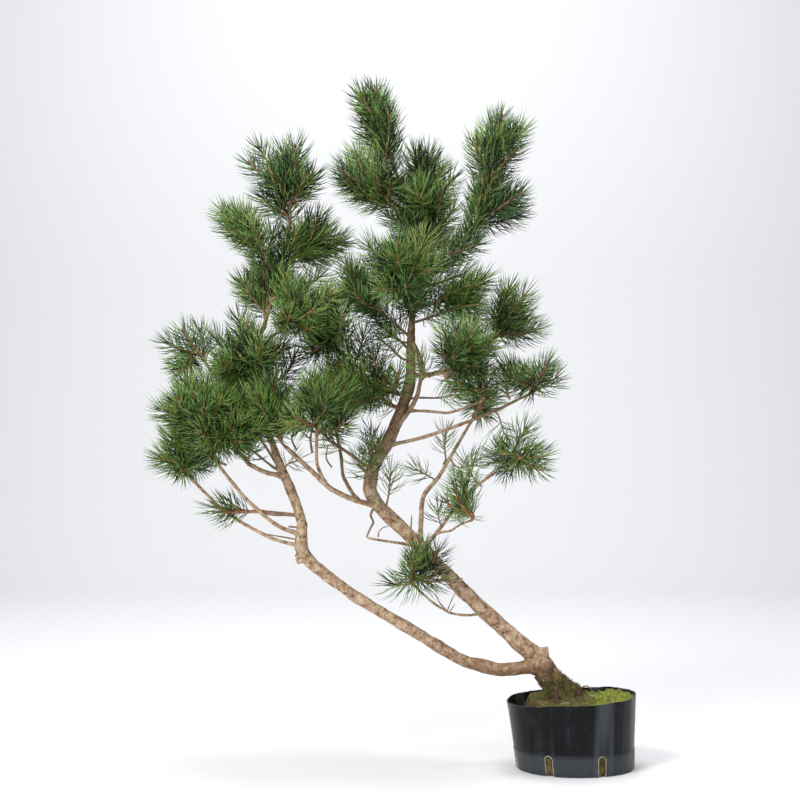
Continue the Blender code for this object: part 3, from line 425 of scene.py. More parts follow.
def tapered_path(points, radius, tip_radius, spacing):
    """Rows along points in mm, whose radius goes evenly from one end's to the other's."""
    radii = np.linspace(radius, tip_radius, len(points))
    return smooth_path([(*point, thick) for point, thick in zip(points, radii)], spacing)


def least_distance(a, b, c, d):
    """Least distance between the straight piece a-b and each of the pieces c-d."""
    along = b - a
    across = d - c
    between = a - c
    aa = max(float(along @ along), 1e-12)
    ee = np.maximum((across * across).sum(1), 1e-12)
    ac = between @ along
    ec = (across * between).sum(1)
    ae = across @ along
    spread = aa * ee - ae * ae
    s = np.where(spread > 1e-14, np.clip((ae * ec - ac * ee) / np.maximum(spread, 1e-14), 0, 1), 0)
    t = np.clip((ae * s + ec) / ee, 0, 1)
    s = np.clip((ae * t - ac) / aa, 0, 1)
    nearest = between + s[:, None] * along - t[:, None] * across
    return np.sqrt((nearest * nearest).sum(1))


def row_at_height(path, height):
    """The path's x, y, z and radius at a height."""
    for start, end in zip(path[:-1], path[1:]):
        if (start[2] - height) * (end[2] - height) <= 0:
            share = (height - start[2]) / (end[2] - start[2])
            return start + (end - start) * share
    raise ValueError(f"no part of the limb is at {height}")


def bough_path(name, start, tip, bow, radius, tip_radius):
    """A limb that is bowed with a small seeded wander, or runs over its knees, from mm."""
    seeded = random.Random(name)
    start = np.array(start)
    tip = np.array(tip, float)
    shares = (0.25, 0.5, 0.75)
    middles = BOUGH_KNEES.get(name)
    if middles is None:
        middles = []
        for share in shares:
            wander = np.array([seeded.uniform(-1, 1) for _ in range(3)]) * BOUGH_KINK
            bowed = np.array(bow) * 4 * share * (1 - share)
            middles.append(start + (tip - start) * share + bowed + wander)
    guides = [(*start, radius)]
    for share, middle in zip(shares, middles):
        guides.append((*middle, radius + (tip_radius - radius) * share))
    guides.append((*tip, tip_radius))
    length = np.linalg.norm(tip - start) * MM
    return smooth_path(guides, length / BOUGH_RINGS)


def limb_paths():
    """Every stem's and bough's rows by name, as in the solids."""
    paths = {"trunk": smooth_path(TRUNK, STEM_SPACING)}
    foot = row_at_height(paths["trunk"], BARE_TWIG_HEIGHT)[:3] / MM
    paths["bare_twig"] = bough_path("bare_twig", foot, BARE_TWIG_TIP, BARE_TWIG_BOW, *BARE_TWIG_RADII)
    paths["trunk_upper"] = smooth_path(TRUNK_UPPER, STEM_SPACING)
    paths["left_stem"] = smooth_path(LEFT_STEM, STEM_SPACING)
    paths["left_stem_upper"] = smooth_path(LEFT_STEM_UPPER, STEM_SPACING)
    paths["left_leader"] = smooth_path(LEFT_LEADER, STEM_SPACING)
    for name, carrier, height, tip, bow, radius, tip_radius in BOUGHS:
        foot = row_at_height(paths[carrier], height * MM)[:3]
        paths[name] = bough_path(name, foot / MM, tip, bow, radius, tip_radius)
    return paths


class Crown:
    """Straight pieces of every limb and twig so far, each with its owner and thickness."""

    def __init__(self, paths):
        self.starts = []
        self.ends = []
        self.radii = []
        self.owners = []
        self.twigs = []
        for name, path in paths.items():
            self.take(path, name)
        self.centres = np.array([row[3] for row in FOLIAGE]) * MM
        self.halves = np.array([row[4] for row in FOLIAGE]) * MM

    def take(self, path, owner, twig=None):
        for start, end in zip(path[:-1], path[1:]):
            self.starts.append(start[:3])
            self.ends.append(end[:3])
            self.radii.append(max(start[3], end[3]))
            self.owners.append(owner)
            self.twigs.append(-1 if twig is None else twig)

    def clear(self, path, room, owner, twig=None, carrier=None):
        """Whether a path keeps off all that its owner, or with a twig's number all that this twig,
        doesn't own. Its foot may lie on its carrier."""
        owners = np.array(self.owners)
        others = owners != owner
        if twig is not None:
            others |= np.array(self.twigs) != twig
        for number, (start, end) in enumerate(zip(path[:-1], path[1:])):
            apart = others & (owners != carrier) if number < 2 else others
            gaps = least_distance(
                start[:3], end[:3], np.array(self.starts)[apart], np.array(self.ends)[apart]
            )
            least = np.array(self.radii)[apart] + max(start[3], end[3]) + room
            least -= KIN_EASE * (owners[apart] == owner)
            if (gaps < least).any():
                return False
        return True

    def in_space(self, point, number):
        """Whether a point lies in this mass's space."""
        return np.linalg.norm((point - self.centres[number]) / self.halves[number]) < FINE_SLACK


def twig_path(start, heading, tip, tip_heading, radius, bend):
    """Rows along a twig: a bare length, then one row for each band of its shoot."""
    length = np.linalg.norm(tip - start)
    out = start + heading * length * FOOT_PULL
    back = tip - tip_heading * length * TIP_PULL + bend
    fine = np.linspace(0, 1, CURVE_STEPS + 1)[:, None]
    rest = 1 - fine
    curve = rest**3 * start + 3 * rest**2 * fine * out + 3 * rest * fine**2 * back + fine**3 * tip
    travelled = np.concatenate([[0], np.cumsum(np.linalg.norm(np.diff(curve, axis=0), axis=1))])
    total = travelled[-1]
    shoot = min(SHOOT_LENGTH, total * MOST_SHOOT)
    bare = total - shoot
    bare_rows = max(1, round(bare / TWIG_SPACING))
    stops = [bare * i / bare_rows for i in range(bare_rows)]
    stops += [bare + shoot * i / SHOOT_BANDS for i in range(SHOOT_BANDS + 1)]
    points = np.column_stack([np.interp(stops, travelled, curve[:, i]) for i in range(3)])
    taper = np.interp(stops, [0, bare, total], [radius, *(radius * share for share in TWIG_TAPER)])
    return np.column_stack([points, taper])


def with_bud(path):
    """The path with the end of the bud that continues it."""
    end = path[-1, :3] + unit(path[-1, :3] - path[-2, :3]) * BUD_LENGTH
    return np.vstack([path, [*end, 0]])


def foot_of_mass(paths, carrier, height, centre):
    """Where a mass's stem starts, its heading there and how far it runs straight."""
    path = paths[carrier]
    if height is None:
        heading = unit(path[-1, :3] - path[-2, :3])
        return path[-1, :3] + heading * GAP, heading, STEM_FOOT
    row = row_at_height(path, height * MM)
    heading = unit(unit(centre - row[:3]) + np.array([0, 0, STEM_LIFT]))
    return row[:3], heading, STEM_FOOT + row[3]


def shoot_goals(number, seeded):
    """Tips and headings for a mass's shoots, evenly spread round the way that it leans."""
    _, _, _, centre, half, lean, count, _ = FOLIAGE[number]
    centre = np.array(centre) * MM
    inner = np.maximum(np.array(half) * MM - SHOOT_INSET, LEAST_INSET)
    lead = unit(np.array(lean))
    side = unit(np.cross(lead, (0.3, 1, 0.2)))
    third = np.cross(lead, side)
    turn = seeded.uniform(0, 2 * math.pi)
    goals = []
    for k in range(count):
        level = 1 - SHOOT_FALL * k / count
        round_it = math.sqrt(max(0, 1 - level**2))
        around = turn + GOLDEN_ANGLE * k
        way = lead * level + (side * math.cos(around) + third * math.sin(around)) * round_it
        heading = unit(way * SHOOT_SPREAD + lead)
        goals.append((centre + inner * way, heading))
    return goals


def effort(way, heading):
    """The length of a way, made longer where a shoot with this heading would have to turn back."""
    return float(np.linalg.norm(way)) * TURNING_BACK - float(way @ heading)


def grow_to(tip, heading, crown, twigs, name, seeded):
    """One more twig of a mass, which leaves the easiest bare wood for its tip."""
    places = []
    for path in twigs:
        bare = path[: max(2, len(path) - 3)]
        for start, end in zip(bare[:-1], bare[1:]):
            for share in LEAVING_SHARES:
                places.append((start + (end - start) * share, unit((end - start)[:3])))
    places.sort(key=lambda place: effort(tip - place[0][:3], heading))
    far = [place for place in places if np.linalg.norm(place[0][:3] - tip) > NEAREST_FOOT]
    reach = far or places[-1:]
    for attempt in range(TRIES):
        row, along = reach[min(attempt // TRIES_AT_A_PLACE, len(reach) - 1)]
        bend = np.array([seeded.uniform(-1, 1) for _ in range(3)]) * TWIG_BEND * attempt
        outward = unit(unit(tip - row[:3]) + along * ALONG_PULL)
        path = twig_path(row[:3], outward, tip, heading, TWIG_RADIUS, bend)
        if crown.clear(with_bud(path), TWIG_ROOM, name):
            crown.take(with_bud(path), name, len(twigs))
            twigs.append(path)
            break


def grow_twigs(number, crown, twigs):
    """Side twigs of a mass: each leaves the easiest bare wood and ends in a shoot."""
    name = FOLIAGE[number][0]
    seeded = random.Random(name)
    for tip, heading in shoot_goals(number, seeded)[1:]:
        grow_to(tip, heading, crown, twigs, name, seeded)


def grow_stem(number, crown, paths):
    """The one stem of a mass, from its carrier to the shoot that reaches furthest."""
    name, carrier, height, centre, *_ = FOLIAGE[number]
    seeded = random.Random(name)
    foot, heading, straight = foot_of_mass(paths, carrier, height, np.array(centre) * MM)
    tip, tip_heading = shoot_goals(number, seeded)[0]
    for attempt in range(TRIES):
        bend = np.array([seeded.uniform(-1, 1) for _ in range(3)]) * STEM_BEND * attempt
        onward = foot + heading * straight
        path = twig_path(onward, heading, tip, tip_heading, STEM_OF_MASS_RADIUS, bend)
        path = np.vstack([[*foot, STEM_OF_MASS_RADIUS], path])
        if crown.clear(with_bud(path), TWIG_ROOM, name, carrier=carrier):
            crown.take(with_bud(path), name, 0)
            return [path]
    raise ValueError(f"{name} has no clear way for its stem")


def grow_fine_shoots(number, crown, twigs):
    """Short shoots in whorls on the twigs of a mass, each turned on by the golden angle."""
    name, *_, lean, _, (_, _, whorls) = FOLIAGE[number]
    lean = unit(np.array(lean))
    seeded = random.Random(name + " fine")
    turn = seeded.uniform(0, 2 * math.pi)
    fine = []
    for path in list(twigs):
        node = max(1, len(path) - 1 - SHOOT_BANDS)
        for step in whorls:
            spot = max(node + step - seeded.uniform(0, NODE_SCATTER), LOWEST_NODE)
            lower = int(spot)
            along = path[lower + 1, :3] - path[lower, :3]
            foot = path[lower, :3] + along * (spot - lower)
            along = unit(along)
            side = unit(np.cross(along, ASIDE))
            across = np.cross(along, side)
            for _ in range(FINE_TRIES):
                turn += GOLDEN_ANGLE
                out = side * math.cos(turn) + across * math.sin(turn)
                heading = unit(along * math.cos(FINE_SPREAD) + out * math.sin(FINE_SPREAD))
                length = seeded.uniform(*FINE_LENGTH)
                tip_heading = unit(heading + lean * FINE_LEAN)
                tip = foot + unit(heading + tip_heading) * length
                if not crown.in_space(tip, number) or not within_reach(tip):
                    continue
                shoot = twig_path(foot, heading, tip, tip_heading, FINE_RADIUS, np.zeros(3))
                if crown.clear(shoot[2:], TWIG_ROOM, name, len(twigs) + len(fine)):
                    crown.take(shoot, name, len(twigs) + len(fine))
                    fine.append(shoot)
                    break
    return fine


def within_reach(point):
    """Whether a shoot's tip is so far inside the whole plant's box that its needles are too."""
    low, high = cad_box
    return all(low[i] + REACH_ROOM < point[i] < high[i] - REACH_ROOM for i in range(3))


# Meshes from arrays


class Pile:
    """Points and triangles gathered for one joined piece."""

    def __init__(self):
        self.points = []
        self.triangles = []
        self.count = 0

    def add(self, points, triangles):
        self.points.append(np.asarray(points, float))
        self.triangles.append(np.asarray(triangles, int) + self.count)
        self.count += len(points)

    def size(self):
        return sum(len(part) for part in self.triangles)

    def piece(self, name, material, slot, replaced=(), smooth=True):
        points = np.vstack(self.points)
        triangles = np.vstack(self.triangles)
        mesh = bpy.data.meshes.new(name)
        mesh.vertices.add(len(points))
        mesh.vertices.foreach_set("co", points.astype(np.float32).ravel())
        mesh.loops.add(3 * len(triangles))
        mesh.loops.foreach_set("vertex_index", triangles.astype(np.int32).ravel())
        mesh.polygons.add(len(triangles))
        mesh.polygons.foreach_set("loop_start", np.arange(0, 3 * len(triangles), 3, dtype=np.int32))
        mesh.update(calc_edges=True)
        if smooth:
            mesh.shade_smooth()
        return dressed(name, mesh, material, replaced)

    def split(self, most):
        """The same shapes in piles of a limited size."""
        parts = [Pile()]
        for points, triangles in zip(self.points, self.triangles):
            if parts[-1].size() + len(triangles) > most:
                parts.append(Pile())
            parts[-1].add(points, triangles - triangles.min())
        return parts


def dressed(name, mesh, material, replaced=()):
    """An object for the mesh, which rides on the one body."""
    piece = bpy.data.objects.new(name, mesh)
    bpy.context.scene.collection.objects.link(piece)
    if not piece.data.materials:
        piece.data.materials.append(material)
    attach(piece, "root")
    if replaced:
        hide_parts(*replaced)
    return piece


def frames(rows):
    """Unit directions along the rows, and two directions across each that don't twist."""
    ahead = units(np.gradient(rows[:, :3], axis=0))
    side = np.empty_like(ahead)
    current = unit(np.cross(ahead[0], ASIDE))
    for i, way in enumerate(ahead):
        current = unit(current - way * float(current @ way))
        side[i] = current
    return ahead, side, np.cross(ahead, side)


def spokes_round(side, across, count):
    """For each row, directions evenly round it, the first to its side."""
    angle = 2 * math.pi * np.arange(count) / count
    return side[:, None] * np.cos(angle)[:, None] + across[:, None] * np.sin(angle)[:, None]


def copied(pattern, corners, count):
    """The pattern's triangles for each of many small shapes with so many corners."""
    return (np.arange(count)[:, None, None] * corners + np.array(pattern)[None]).reshape(-1, 3)


def ring_triangles(rings, sides):
    """Triangles between the rings of a tube, and over its two ends."""
    lower = np.arange(rings - 1)[:, None] * sides + np.arange(sides)[None, :]
    after = np.arange(rings - 1)[:, None] * sides + (np.arange(sides)[None, :] + 1) % sides
    body = [
        np.stack([lower, after, after + sides], -1).reshape(-1, 3),
        np.stack([lower, after + sides, lower + sides], -1).reshape(-1, 3),
    ]
    k = np.arange(1, sides - 1)
    last = (rings - 1) * sides
    body.append(np.stack([np.zeros_like(k), k + 1, k], -1))
    body.append(np.stack([np.full_like(k, last), last + k, last + k + 1], -1))
    return np.vstack(body)


def tube(rows, sides):
    """Points and triangles of a round tube along rows of x, y, z and radius."""
    _, side, across = frames(rows)
    points = rows[:, None, :3] + spokes_round(side, across, sides) * rows[:, None, 3:4]
    return points.reshape(-1, 3), ring_triangles(len(rows), sides)


def finer(path, spacing):
    """The same path with closer rows."""
    return smooth_path(path / MM, spacing)


def lengths_along(rows):
    return np.concatenate([[0], np.cumsum(np.linalg.norm(np.diff(rows[:, :3], axis=0), axis=1))])


# Bark: rings and sides of the limbs, whorl swellings, and plates that are raised on it
BARK_RING = 2.2 * MM
BOUGH_RING = 2.6 * MM
GUIDE_SPACING = 20 * MM
TRUNK_SIDES = 52
STEM_SIDES = 40
STUB_SIDES = 20
BOUGH_SIDES = 16
UNDER_THE_SOIL = (-14, 0, 96, 20)  # the trunk's lowest point, mm: x, y, z, radius
BARK_EASE = 0.96
WHORL_SPACING = (62 * MM, 105 * MM)
WHORL_SWELL = 0.10
WHORL_WIDTH = 1.3
WHORL_ROOM = 2 * MM
COLLAR_SWELL = 0.55
COLLAR_FADE = 5 * MM
PLATE_STRETCH = 1.7
PLATE_LIFT = 0.9
PLATE_EDGE = 0.55
PLATE_SINK = 0.95
EDGE_SLOPE = 3
CELL_DICE = Vector((127.1, 311.7, 74.7))
CELL_SPREAD = 43758.5
LUMP_SIZE = 19 * MM
LUMP_HEIGHT = 0.09
GRAIN_SIZE = 2.4 * MM
GRAIN_HEIGHT = 0.3
OLD_BARK = 0.75
FOOT_BARK = 1.1
FOOT_FADE = 100 * MM

# Height of the flakes and size of the plates on each kind of limb, and on the cones
TRUNK_FLAKES = (0.95 * MM, 6.5 * MM)
STEM_FLAKES = (0.7 * MM, 5.5 * MM)
STUB_FLAKES = (0.8 * MM, 4 * MM)
BOUGH_FLAKES = (0.38 * MM, 3.2 * MM)
BARE_TWIG_FLAKES = (0.3 * MM, 3 * MM)
CONE_SCALES = (1.3 * MM, 3.4 * MM)

# How far along its axis the bare twig and the left stem come out of the trunk
BARE_TWIG_INSIDE = 16 * MM
LEFT_STEM_INSIDE = 14 * MM

# The root flare: its lobes by direction and size
FLARE_TOP = 172 * MM
FLARE_FOOT = 8 * MM
FLARE_REACH = 25 * MM
FLARE_CURVE = 1.7
BETWEEN_LOBES = 0.25
LOBE_WIDTH = 0.42
FLARE_LOBES = ((0.2, 1.0), (1.45, 0.55), (2.5, 0.9), (3.6, 0.6), (4.5, 1.0), (5.5, 0.7))


def bark_limb(path, spacing, sides, flake, plate, seed, collar=0.0, flare=False):
    """A limb with whorl swellings, long lumps and flaking plates raised on its surface."""
    rows = finer(path, spacing)
    seeded = random.Random(seed)
    travelled = lengths_along(rows)
    swell = np.full(len(rows), BARK_EASE)
    place = seeded.uniform(*WHORL_SPACING)
    while place < travelled[-1]:
        width = WHORL_WIDTH * rows[:, 3] + WHORL_ROOM
        swell += WHORL_SWELL * np.exp(-(((travelled - place) / width) ** 2))
        place += seeded.uniform(*WHORL_SPACING)
    if collar:
        swell += COLLAR_SWELL * np.exp(-np.clip(travelled - collar, 0, None) / COLLAR_FADE)
    _, side, across = frames(rows)
    spokes = spokes_round(side, across, sides)
    radius = np.repeat((rows[:, 3] * swell)[:, None], sides, axis=1)
    if flare:
        radius += root_flare(rows, spokes)
    points = rows[:, None, :3] + spokes * radius[:, :, None]
    shift = Vector((seeded.uniform(0, 9), seeded.uniform(0, 9), 0))
    for i, along in enumerate(travelled):
        girth = rows[i, 3]
        rough = flake * (OLD_BARK + FOOT_BARK * math.exp(-along / FOOT_FADE)) if flare else flake
        for j in range(sides):
            turn = 2 * math.pi * j / sides
            unrolled = Vector((math.cos(turn) * girth, math.sin(turn) * girth, along / PLATE_STRETCH))
            distances, cells = noise.voronoi((unrolled + shift) / plate)
            lift = math.sin(cells[0].dot(CELL_DICE)) * CELL_SPREAD % 1
            edge = min((distances[1] - distances[0]) * EDGE_SLOPE, 1)
            at = Vector(points[i, j]) + shift
            raised = rough * (lift * PLATE_LIFT + edge * PLATE_EDGE - PLATE_SINK)
            lump = noise.noise(at / LUMP_SIZE) * LUMP_HEIGHT * girth
            grain = noise.noise(at / GRAIN_SIZE) * GRAIN_HEIGHT * rough
            points[i, j] += spokes[i, j] * (raised + lump + grain)
    return points.reshape(-1, 3), ring_triangles(len(rows), sides)


def root_flare(rows, spokes):
    """How far the lobes of the root flare stand out of the trunk near the soil."""
    low = smooth_step((FLARE_TOP - rows[:, 2]) / (FLARE_TOP - SOIL_LEVEL + FLARE_FOOT))
    around = np.arctan2(spokes[:, :, 1], spokes[:, :, 0])
    lobes = np.full(around.shape, BETWEEN_LOBES)
    for centre, size in FLARE_LOBES:
        apart = np.abs((around - centre + math.pi) % (2 * math.pi) - math.pi)
        lobes = np.maximum(lobes, size * np.exp(-((apart / LOBE_WIDTH) ** 2)))
    return FLARE_REACH * (low**FLARE_CURVE)[:, None] * lobes


# Sawn stubs, dead snags and burls, mm: on its limb, outer end, radius at each end
STUBS = (
    ((-84, 0, 200), (-47.5, -3, 204.5), 13, 12.4),
    ((-60, 0, 182), (-49.5, -22, 184), 13.8, 12.6),
    ((-488, -40, 388), (-500, -44, 381), 7, 4.5),
    ((-486, -40, 378), (-499, -42, 372), 7, 5),
    ((-489, -40, 437), (-481, -42, 439), 8, 5.5),
    ((-328, -31, 274), (-321, -35, 264), 3.2, 2.2),
    ((-286, 15, 402), (-277, 6, 408), 8.5, 5),
    ((-296, 15, 414), (-294, 8, 452), 2.4, 1.4),
    ((-490, -40, 433), (-513, -50, 435), 2.6, 1.8),
    ((-284, 15, 400), (-274, 6, 418), 2.2, 1.3),
    ((-369, 20, 498), (-359, 14, 512), 5, 3),
    ((-346, 18, 460), (-356, 8, 470), 4, 2.6),
    ((-311, 20, 642), (-302, 10, 648), 6, 4),
    ((-148, 5, 264), (-156, -8, 275), 4.2, 3),
    ((-214, 10, 329), (-204, 0, 338), 3.8, 2.6),
)
SAWN_FACE = ((-49.3, -22.4, 184), (-48.4, -24.8, 184.2))
SAWN_RADII = (9.6, 9.12)
SAWN_SIDES = 22


def make_bark(paths, materials):
    """The stems and boughs, each with the size of its flakes and plates."""
    pile = Pile()
    stem = smooth_path((UNDER_THE_SOIL,) + TRUNK + TRUNK_UPPER[1:], GUIDE_SPACING)
    pile.add(*bark_limb(stem, BARK_RING, TRUNK_SIDES, *TRUNK_FLAKES, "trunk", flare=True))
    for foot, end, radius, end_radius in STUBS:
        stub = tapered_path((foot, end), radius, end_radius, BARK_RING)
        pile.add(*bark_limb(stub, BARK_RING, STUB_SIDES, *STUB_FLAKES, str(end)))
    twig = paths["bare_twig"]
    pile.add(*bark_limb(twig, BOUGH_RING, BOUGH_SIDES, *BARE_TWIG_FLAKES, "bare twig", BARE_TWIG_INSIDE))
    pile.piece("trunk_bark", materials["bark"], "bark", ("trunk", "trunk_upper"))
    pile = Pile()
    stem = smooth_path(LEFT_STEM + LEFT_STEM_UPPER[1:] + LEFT_LEADER[1:], GUIDE_SPACING)
    pile.add(*bark_limb(stem, BARK_RING, STEM_SIDES, *STEM_FLAKES, "left stem", LEFT_STEM_INSIDE))
    pile.piece("left_stem_bark", materials["bark"], "bark", ("left_stem", "left_stem_upper", "left_leader"))
    pile = Pile()
    for name, carrier, height, *_ in BOUGHS:
        inside = row_at_height(paths[carrier], height * MM)[3]
        pile.add(*bark_limb(paths[name], BOUGH_RING, BOUGH_SIDES, *BOUGH_FLAKES, name, inside))
    pile.piece("bough_bark", materials["young_bark"], "young_bark", [row[0] for row in BOUGHS])
    pile = Pile()
    pile.add(*tube(tapered_path(SAWN_FACE, *SAWN_RADII, BARK_RING), SAWN_SIDES))
    pile.piece("sawn_wood", materials["sawn"], "bark", smooth=False)


# Needles


def needle_arrays(roots, ways, lengths, bends):
    """Three-sided needles: a ring at the root, one past the middle and a point."""
    first = units(np.cross(ways, UP + 0.01))
    spokes = spokes_round(first, np.cross(ways, first), 3) * NEEDLE_RADIUS
    middle = roots + ways * (lengths * NEEDLE_MIDDLE)[:, None]
    points = np.empty((len(roots), 7, 3))
    points[:, :3] = roots[:, None] + spokes * NEEDLE_FOOT
    points[:, 3:6] = middle[:, None] + spokes
    points[:, 6] = middle + units(ways + bends) * (lengths * (1 - NEEDLE_MIDDLE))[:, None]
    pattern = []
    for k in range(3):
        after = (k + 1) % 3
        pattern += [(k, after, 3 + after), (k, 3 + after, 3 + k), (3 + k, 3 + after, 6)]
    return points.reshape(-1, 3), copied(pattern, 7, len(roots))


class Limbs:
    """The stout limbs' straight pieces, which needles keep out of."""

    def __init__(self, paths):
        pieces = [(path[:-1], path[1:]) for path in paths.values()]
        self.starts = np.vstack([a[:, :3] for a, _ in pieces])
        self.along = np.vstack([(b - a)[:, :3] for a, b in pieces])
        self.radii = np.concatenate([a[:, 3] for a, _ in pieces])

    def outside(self, points):
        """Which points lie outside every limb."""
        clear = np.ones(len(points), bool)
        for start, along, radius in zip(self.starts, self.along, self.radii):
            t = np.clip((points - start) @ along / (along @ along), 0, 1)
            gap = np.linalg.norm(points - start - t[:, None] * along, axis=1)
            clear &= gap > radius
        return clear


def spray(path, needled, pitch, seeded, whole=False):
    """Roots, directions, lengths and bends of the needle pairs along the end of a shoot."""
    rows = finer(path, SPRAY_ROW)
    travelled = lengths_along(rows)
    total = travelled[-1]
    start = max(total - needled, BARE_FOOT * total)
    count = int((total - start) / pitch)
    if count < FEWEST_PAIRS:
        return None
    stops = np.linspace(start, total, count)
    at, *ways = [
        np.column_stack([np.interp(stops, travelled, column) for column in part.T])
        for part in (rows, *frames(rows))
    ]
    ahead, side, across = [units(part) for part in ways]
    dice = np.random.default_rng(seeded.randrange(1 << 30))
    year = YEAR_LENGTH * seeded.uniform(*YEARS_VARY)
    turn = GOLDEN_ANGLE * np.arange(count) + dice.normal(0, TURN_SCATTER, count)
    last = np.clip((stops - (total - GATHERED_LENGTH)) / GATHERED_LENGTH, 0, 1)
    if whole:
        spread = CLOTHED_SPREAD
    else:
        near_tip = np.linspace(0, 1, count) ** SPREAD_CURVE
        spread = BASE_SPREAD + (TIP_SPREAD + GATHER - BASE_SPREAD) * near_tip - GATHER * last**2
    spread = spread + dice.normal(0, SPREAD_SCATTER, count)
    out = side * np.cos(turn)[:, None] + across * np.sin(turn)[:, None]
    way = units(ahead * np.cos(spread)[:, None] + out * np.sin(spread)[:, None] + UP * NEEDLE_RISE)
    length = NEEDLE_LENGTH * seeded.uniform(*SPRAY_LENGTHS) * dice.uniform(*NEEDLE_LENGTHS, count)
    length *= 1 - GATHERED_SHORTER * last
    roots = at[:, :3] + out * (at[:, 3] * ROOT_DEPTH)[:, None]
    bend = ahead * FORWARD_BEND + UP * UPWARD_BEND + dice.normal(0, BEND_SCATTER, (count, 3))
    apart = units(np.cross(way, dice.normal(0, 1, (count, 3)))) * math.tan(PAIR_SPREAD)
    lengths = np.concatenate([length, length * dice.uniform(*TWIN_LENGTHS, count)])
    both_ways = units(np.vstack([way + apart, way - apart]))
    clad = np.tile(((total - stops) % year < year * YEAR_CLAD) | whole, 2)
    parts = (np.vstack([roots, roots]), both_ways, lengths, np.vstack([bend, bend]))
    return [part[clad] for part in parts]


def make_needles(sprays, paths, materials):
    """All needles, by the green that was dealt to their spray, or to some of them alone."""
    limbs = Limbs(paths)
    low, high = (np.array(corner) for corner in cad_box)
    seeded = random.Random("greens")
    dice = np.random.default_rng(7)
    names, shares, _ = zip(*GREENS)
    piles = {name: Pile() for name in names}
    for parts, tone in sprays:
        pick = seeded.choices(names, shares)[0]
        if tone and seeded.random() < MOSTLY:
            pick = tone
        roots, ways, lengths, _ = parts
        ends = roots + ways * lengths[:, None]
        keep = limbs.outside(ends) & limbs.outside(roots + ways * (lengths * 0.5)[:, None])
        keep &= ends[:, 2] > SOIL_LEVEL
        keep &= ((ends > low - PAST_THE_BOX) & (ends < high + PAST_THE_BOX)).all(1)
        # Some needles in each spray get the darkest green as painted shade, and some get the light green as
        # painted highlight
        dealt = dice.uniform(0, 1, len(keep))
        deep = dealt < PAINTED_SHADE_NEEDLES
        light = dealt > 1 - PAINTED_HIGHLIGHT_NEEDLES
        for green, chosen in (("deep", deep), ("light", light), (pick, ~deep & ~light)):
            if (keep & chosen).any():
                piles[green].add(*needle_arrays(*(part[keep & chosen] for part in parts)))
    replaced = [row[0] for row in FOLIAGE]
    for name, pile in piles.items():
        material = materials["needles_" + name]
        for number, part in enumerate(pile.split(MOST_IN_A_PIECE), 1):
            part.piece(f"needles_{name}_{number}", material, "needles", replaced, smooth=False)
            replaced = ()


# Materials, their colours linear, and their places and depths in metres

EVENLY = (1, 1, 1)
WHITE = (1, 1, 1)
BLACK = (0, 0, 0)
BARK_COLOURS = (
    (0.34, (0.095, 0.053, 0.028)), (0.42, (0.250, 0.155, 0.092)),
    (0.49, (0.390, 0.262, 0.166)), (0.60, (0.560, 0.425, 0.300)),
)
SOIL_COLOURS = ((0.36, (0.018, 0.012, 0.006)), (0.52, (0.060, 0.036, 0.016)), (0.70, (0.135, 0.085, 0.035)))
POT_COLOURS = ((0.38, (0.003, 0.0035, 0.004)), (0.55, (0.006, 0.0065, 0.008)), (0.74, (0.020, 0.022, 0.026)))
POT_ROUGHNESS = ((0.3, (0.24, 0.24, 0.24)), (0.7, (0.40, 0.40, 0.40)))

# Materials of one noise: name, the noise's scale, detail and roughness, the colours along it, the
# surface's roughness, and the scale, detail, roughness, strength and depth of the bump
MOSS_NOISE = (150, 5, 0.65)
SPECKLED = (
    ("sawn", (260, 4, 0.6), ((0.36, (0.150, 0.080, 0.048)), (0.66, (0.240, 0.140, 0.088))), 0.85, ()),
    ("shoot", (160, 5, 0.6),
     ((0.38, (0.120, 0.046, 0.020)), (0.52, (0.290, 0.125, 0.055)), (0.68, (0.44, 0.25, 0.13))),
     0.65, (500, 4, 0.6, 0.5, 0.0005)),
    ("twig", (130, 6, 0.65),
     ((0.34, (0.110, 0.060, 0.032)), (0.52, (0.270, 0.160, 0.092)), (0.72, (0.40, 0.27, 0.17))),
     0.75, (450, 4, 0.6, 0.5, 0.0005)),
    ("pot_cut_edge", (120, 4, 0.6), ((0.4, (0.20, 0.19, 0.15)), (0.62, (0.46, 0.43, 0.34))), 0.8, ()),
    ("moss_bright", MOSS_NOISE, ((0.38, (0.040, 0.056, 0.004)), (0.60, (0.280, 0.320, 0.020))), 0.7, ()),
    ("moss_olive", MOSS_NOISE, ((0.38, (0.022, 0.024, 0.004)), (0.60, (0.170, 0.165, 0.020))), 0.7, ()),
    ("moss_dry", MOSS_NOISE, ((0.38, (0.020, 0.011, 0.005)), (0.60, (0.140, 0.080, 0.030))), 0.7, ()),
    ("pale_root", MOSS_NOISE, ((0.38, (0.26, 0.17, 0.09)), (0.60, (0.50, 0.38, 0.24))), 0.7, ()),
)


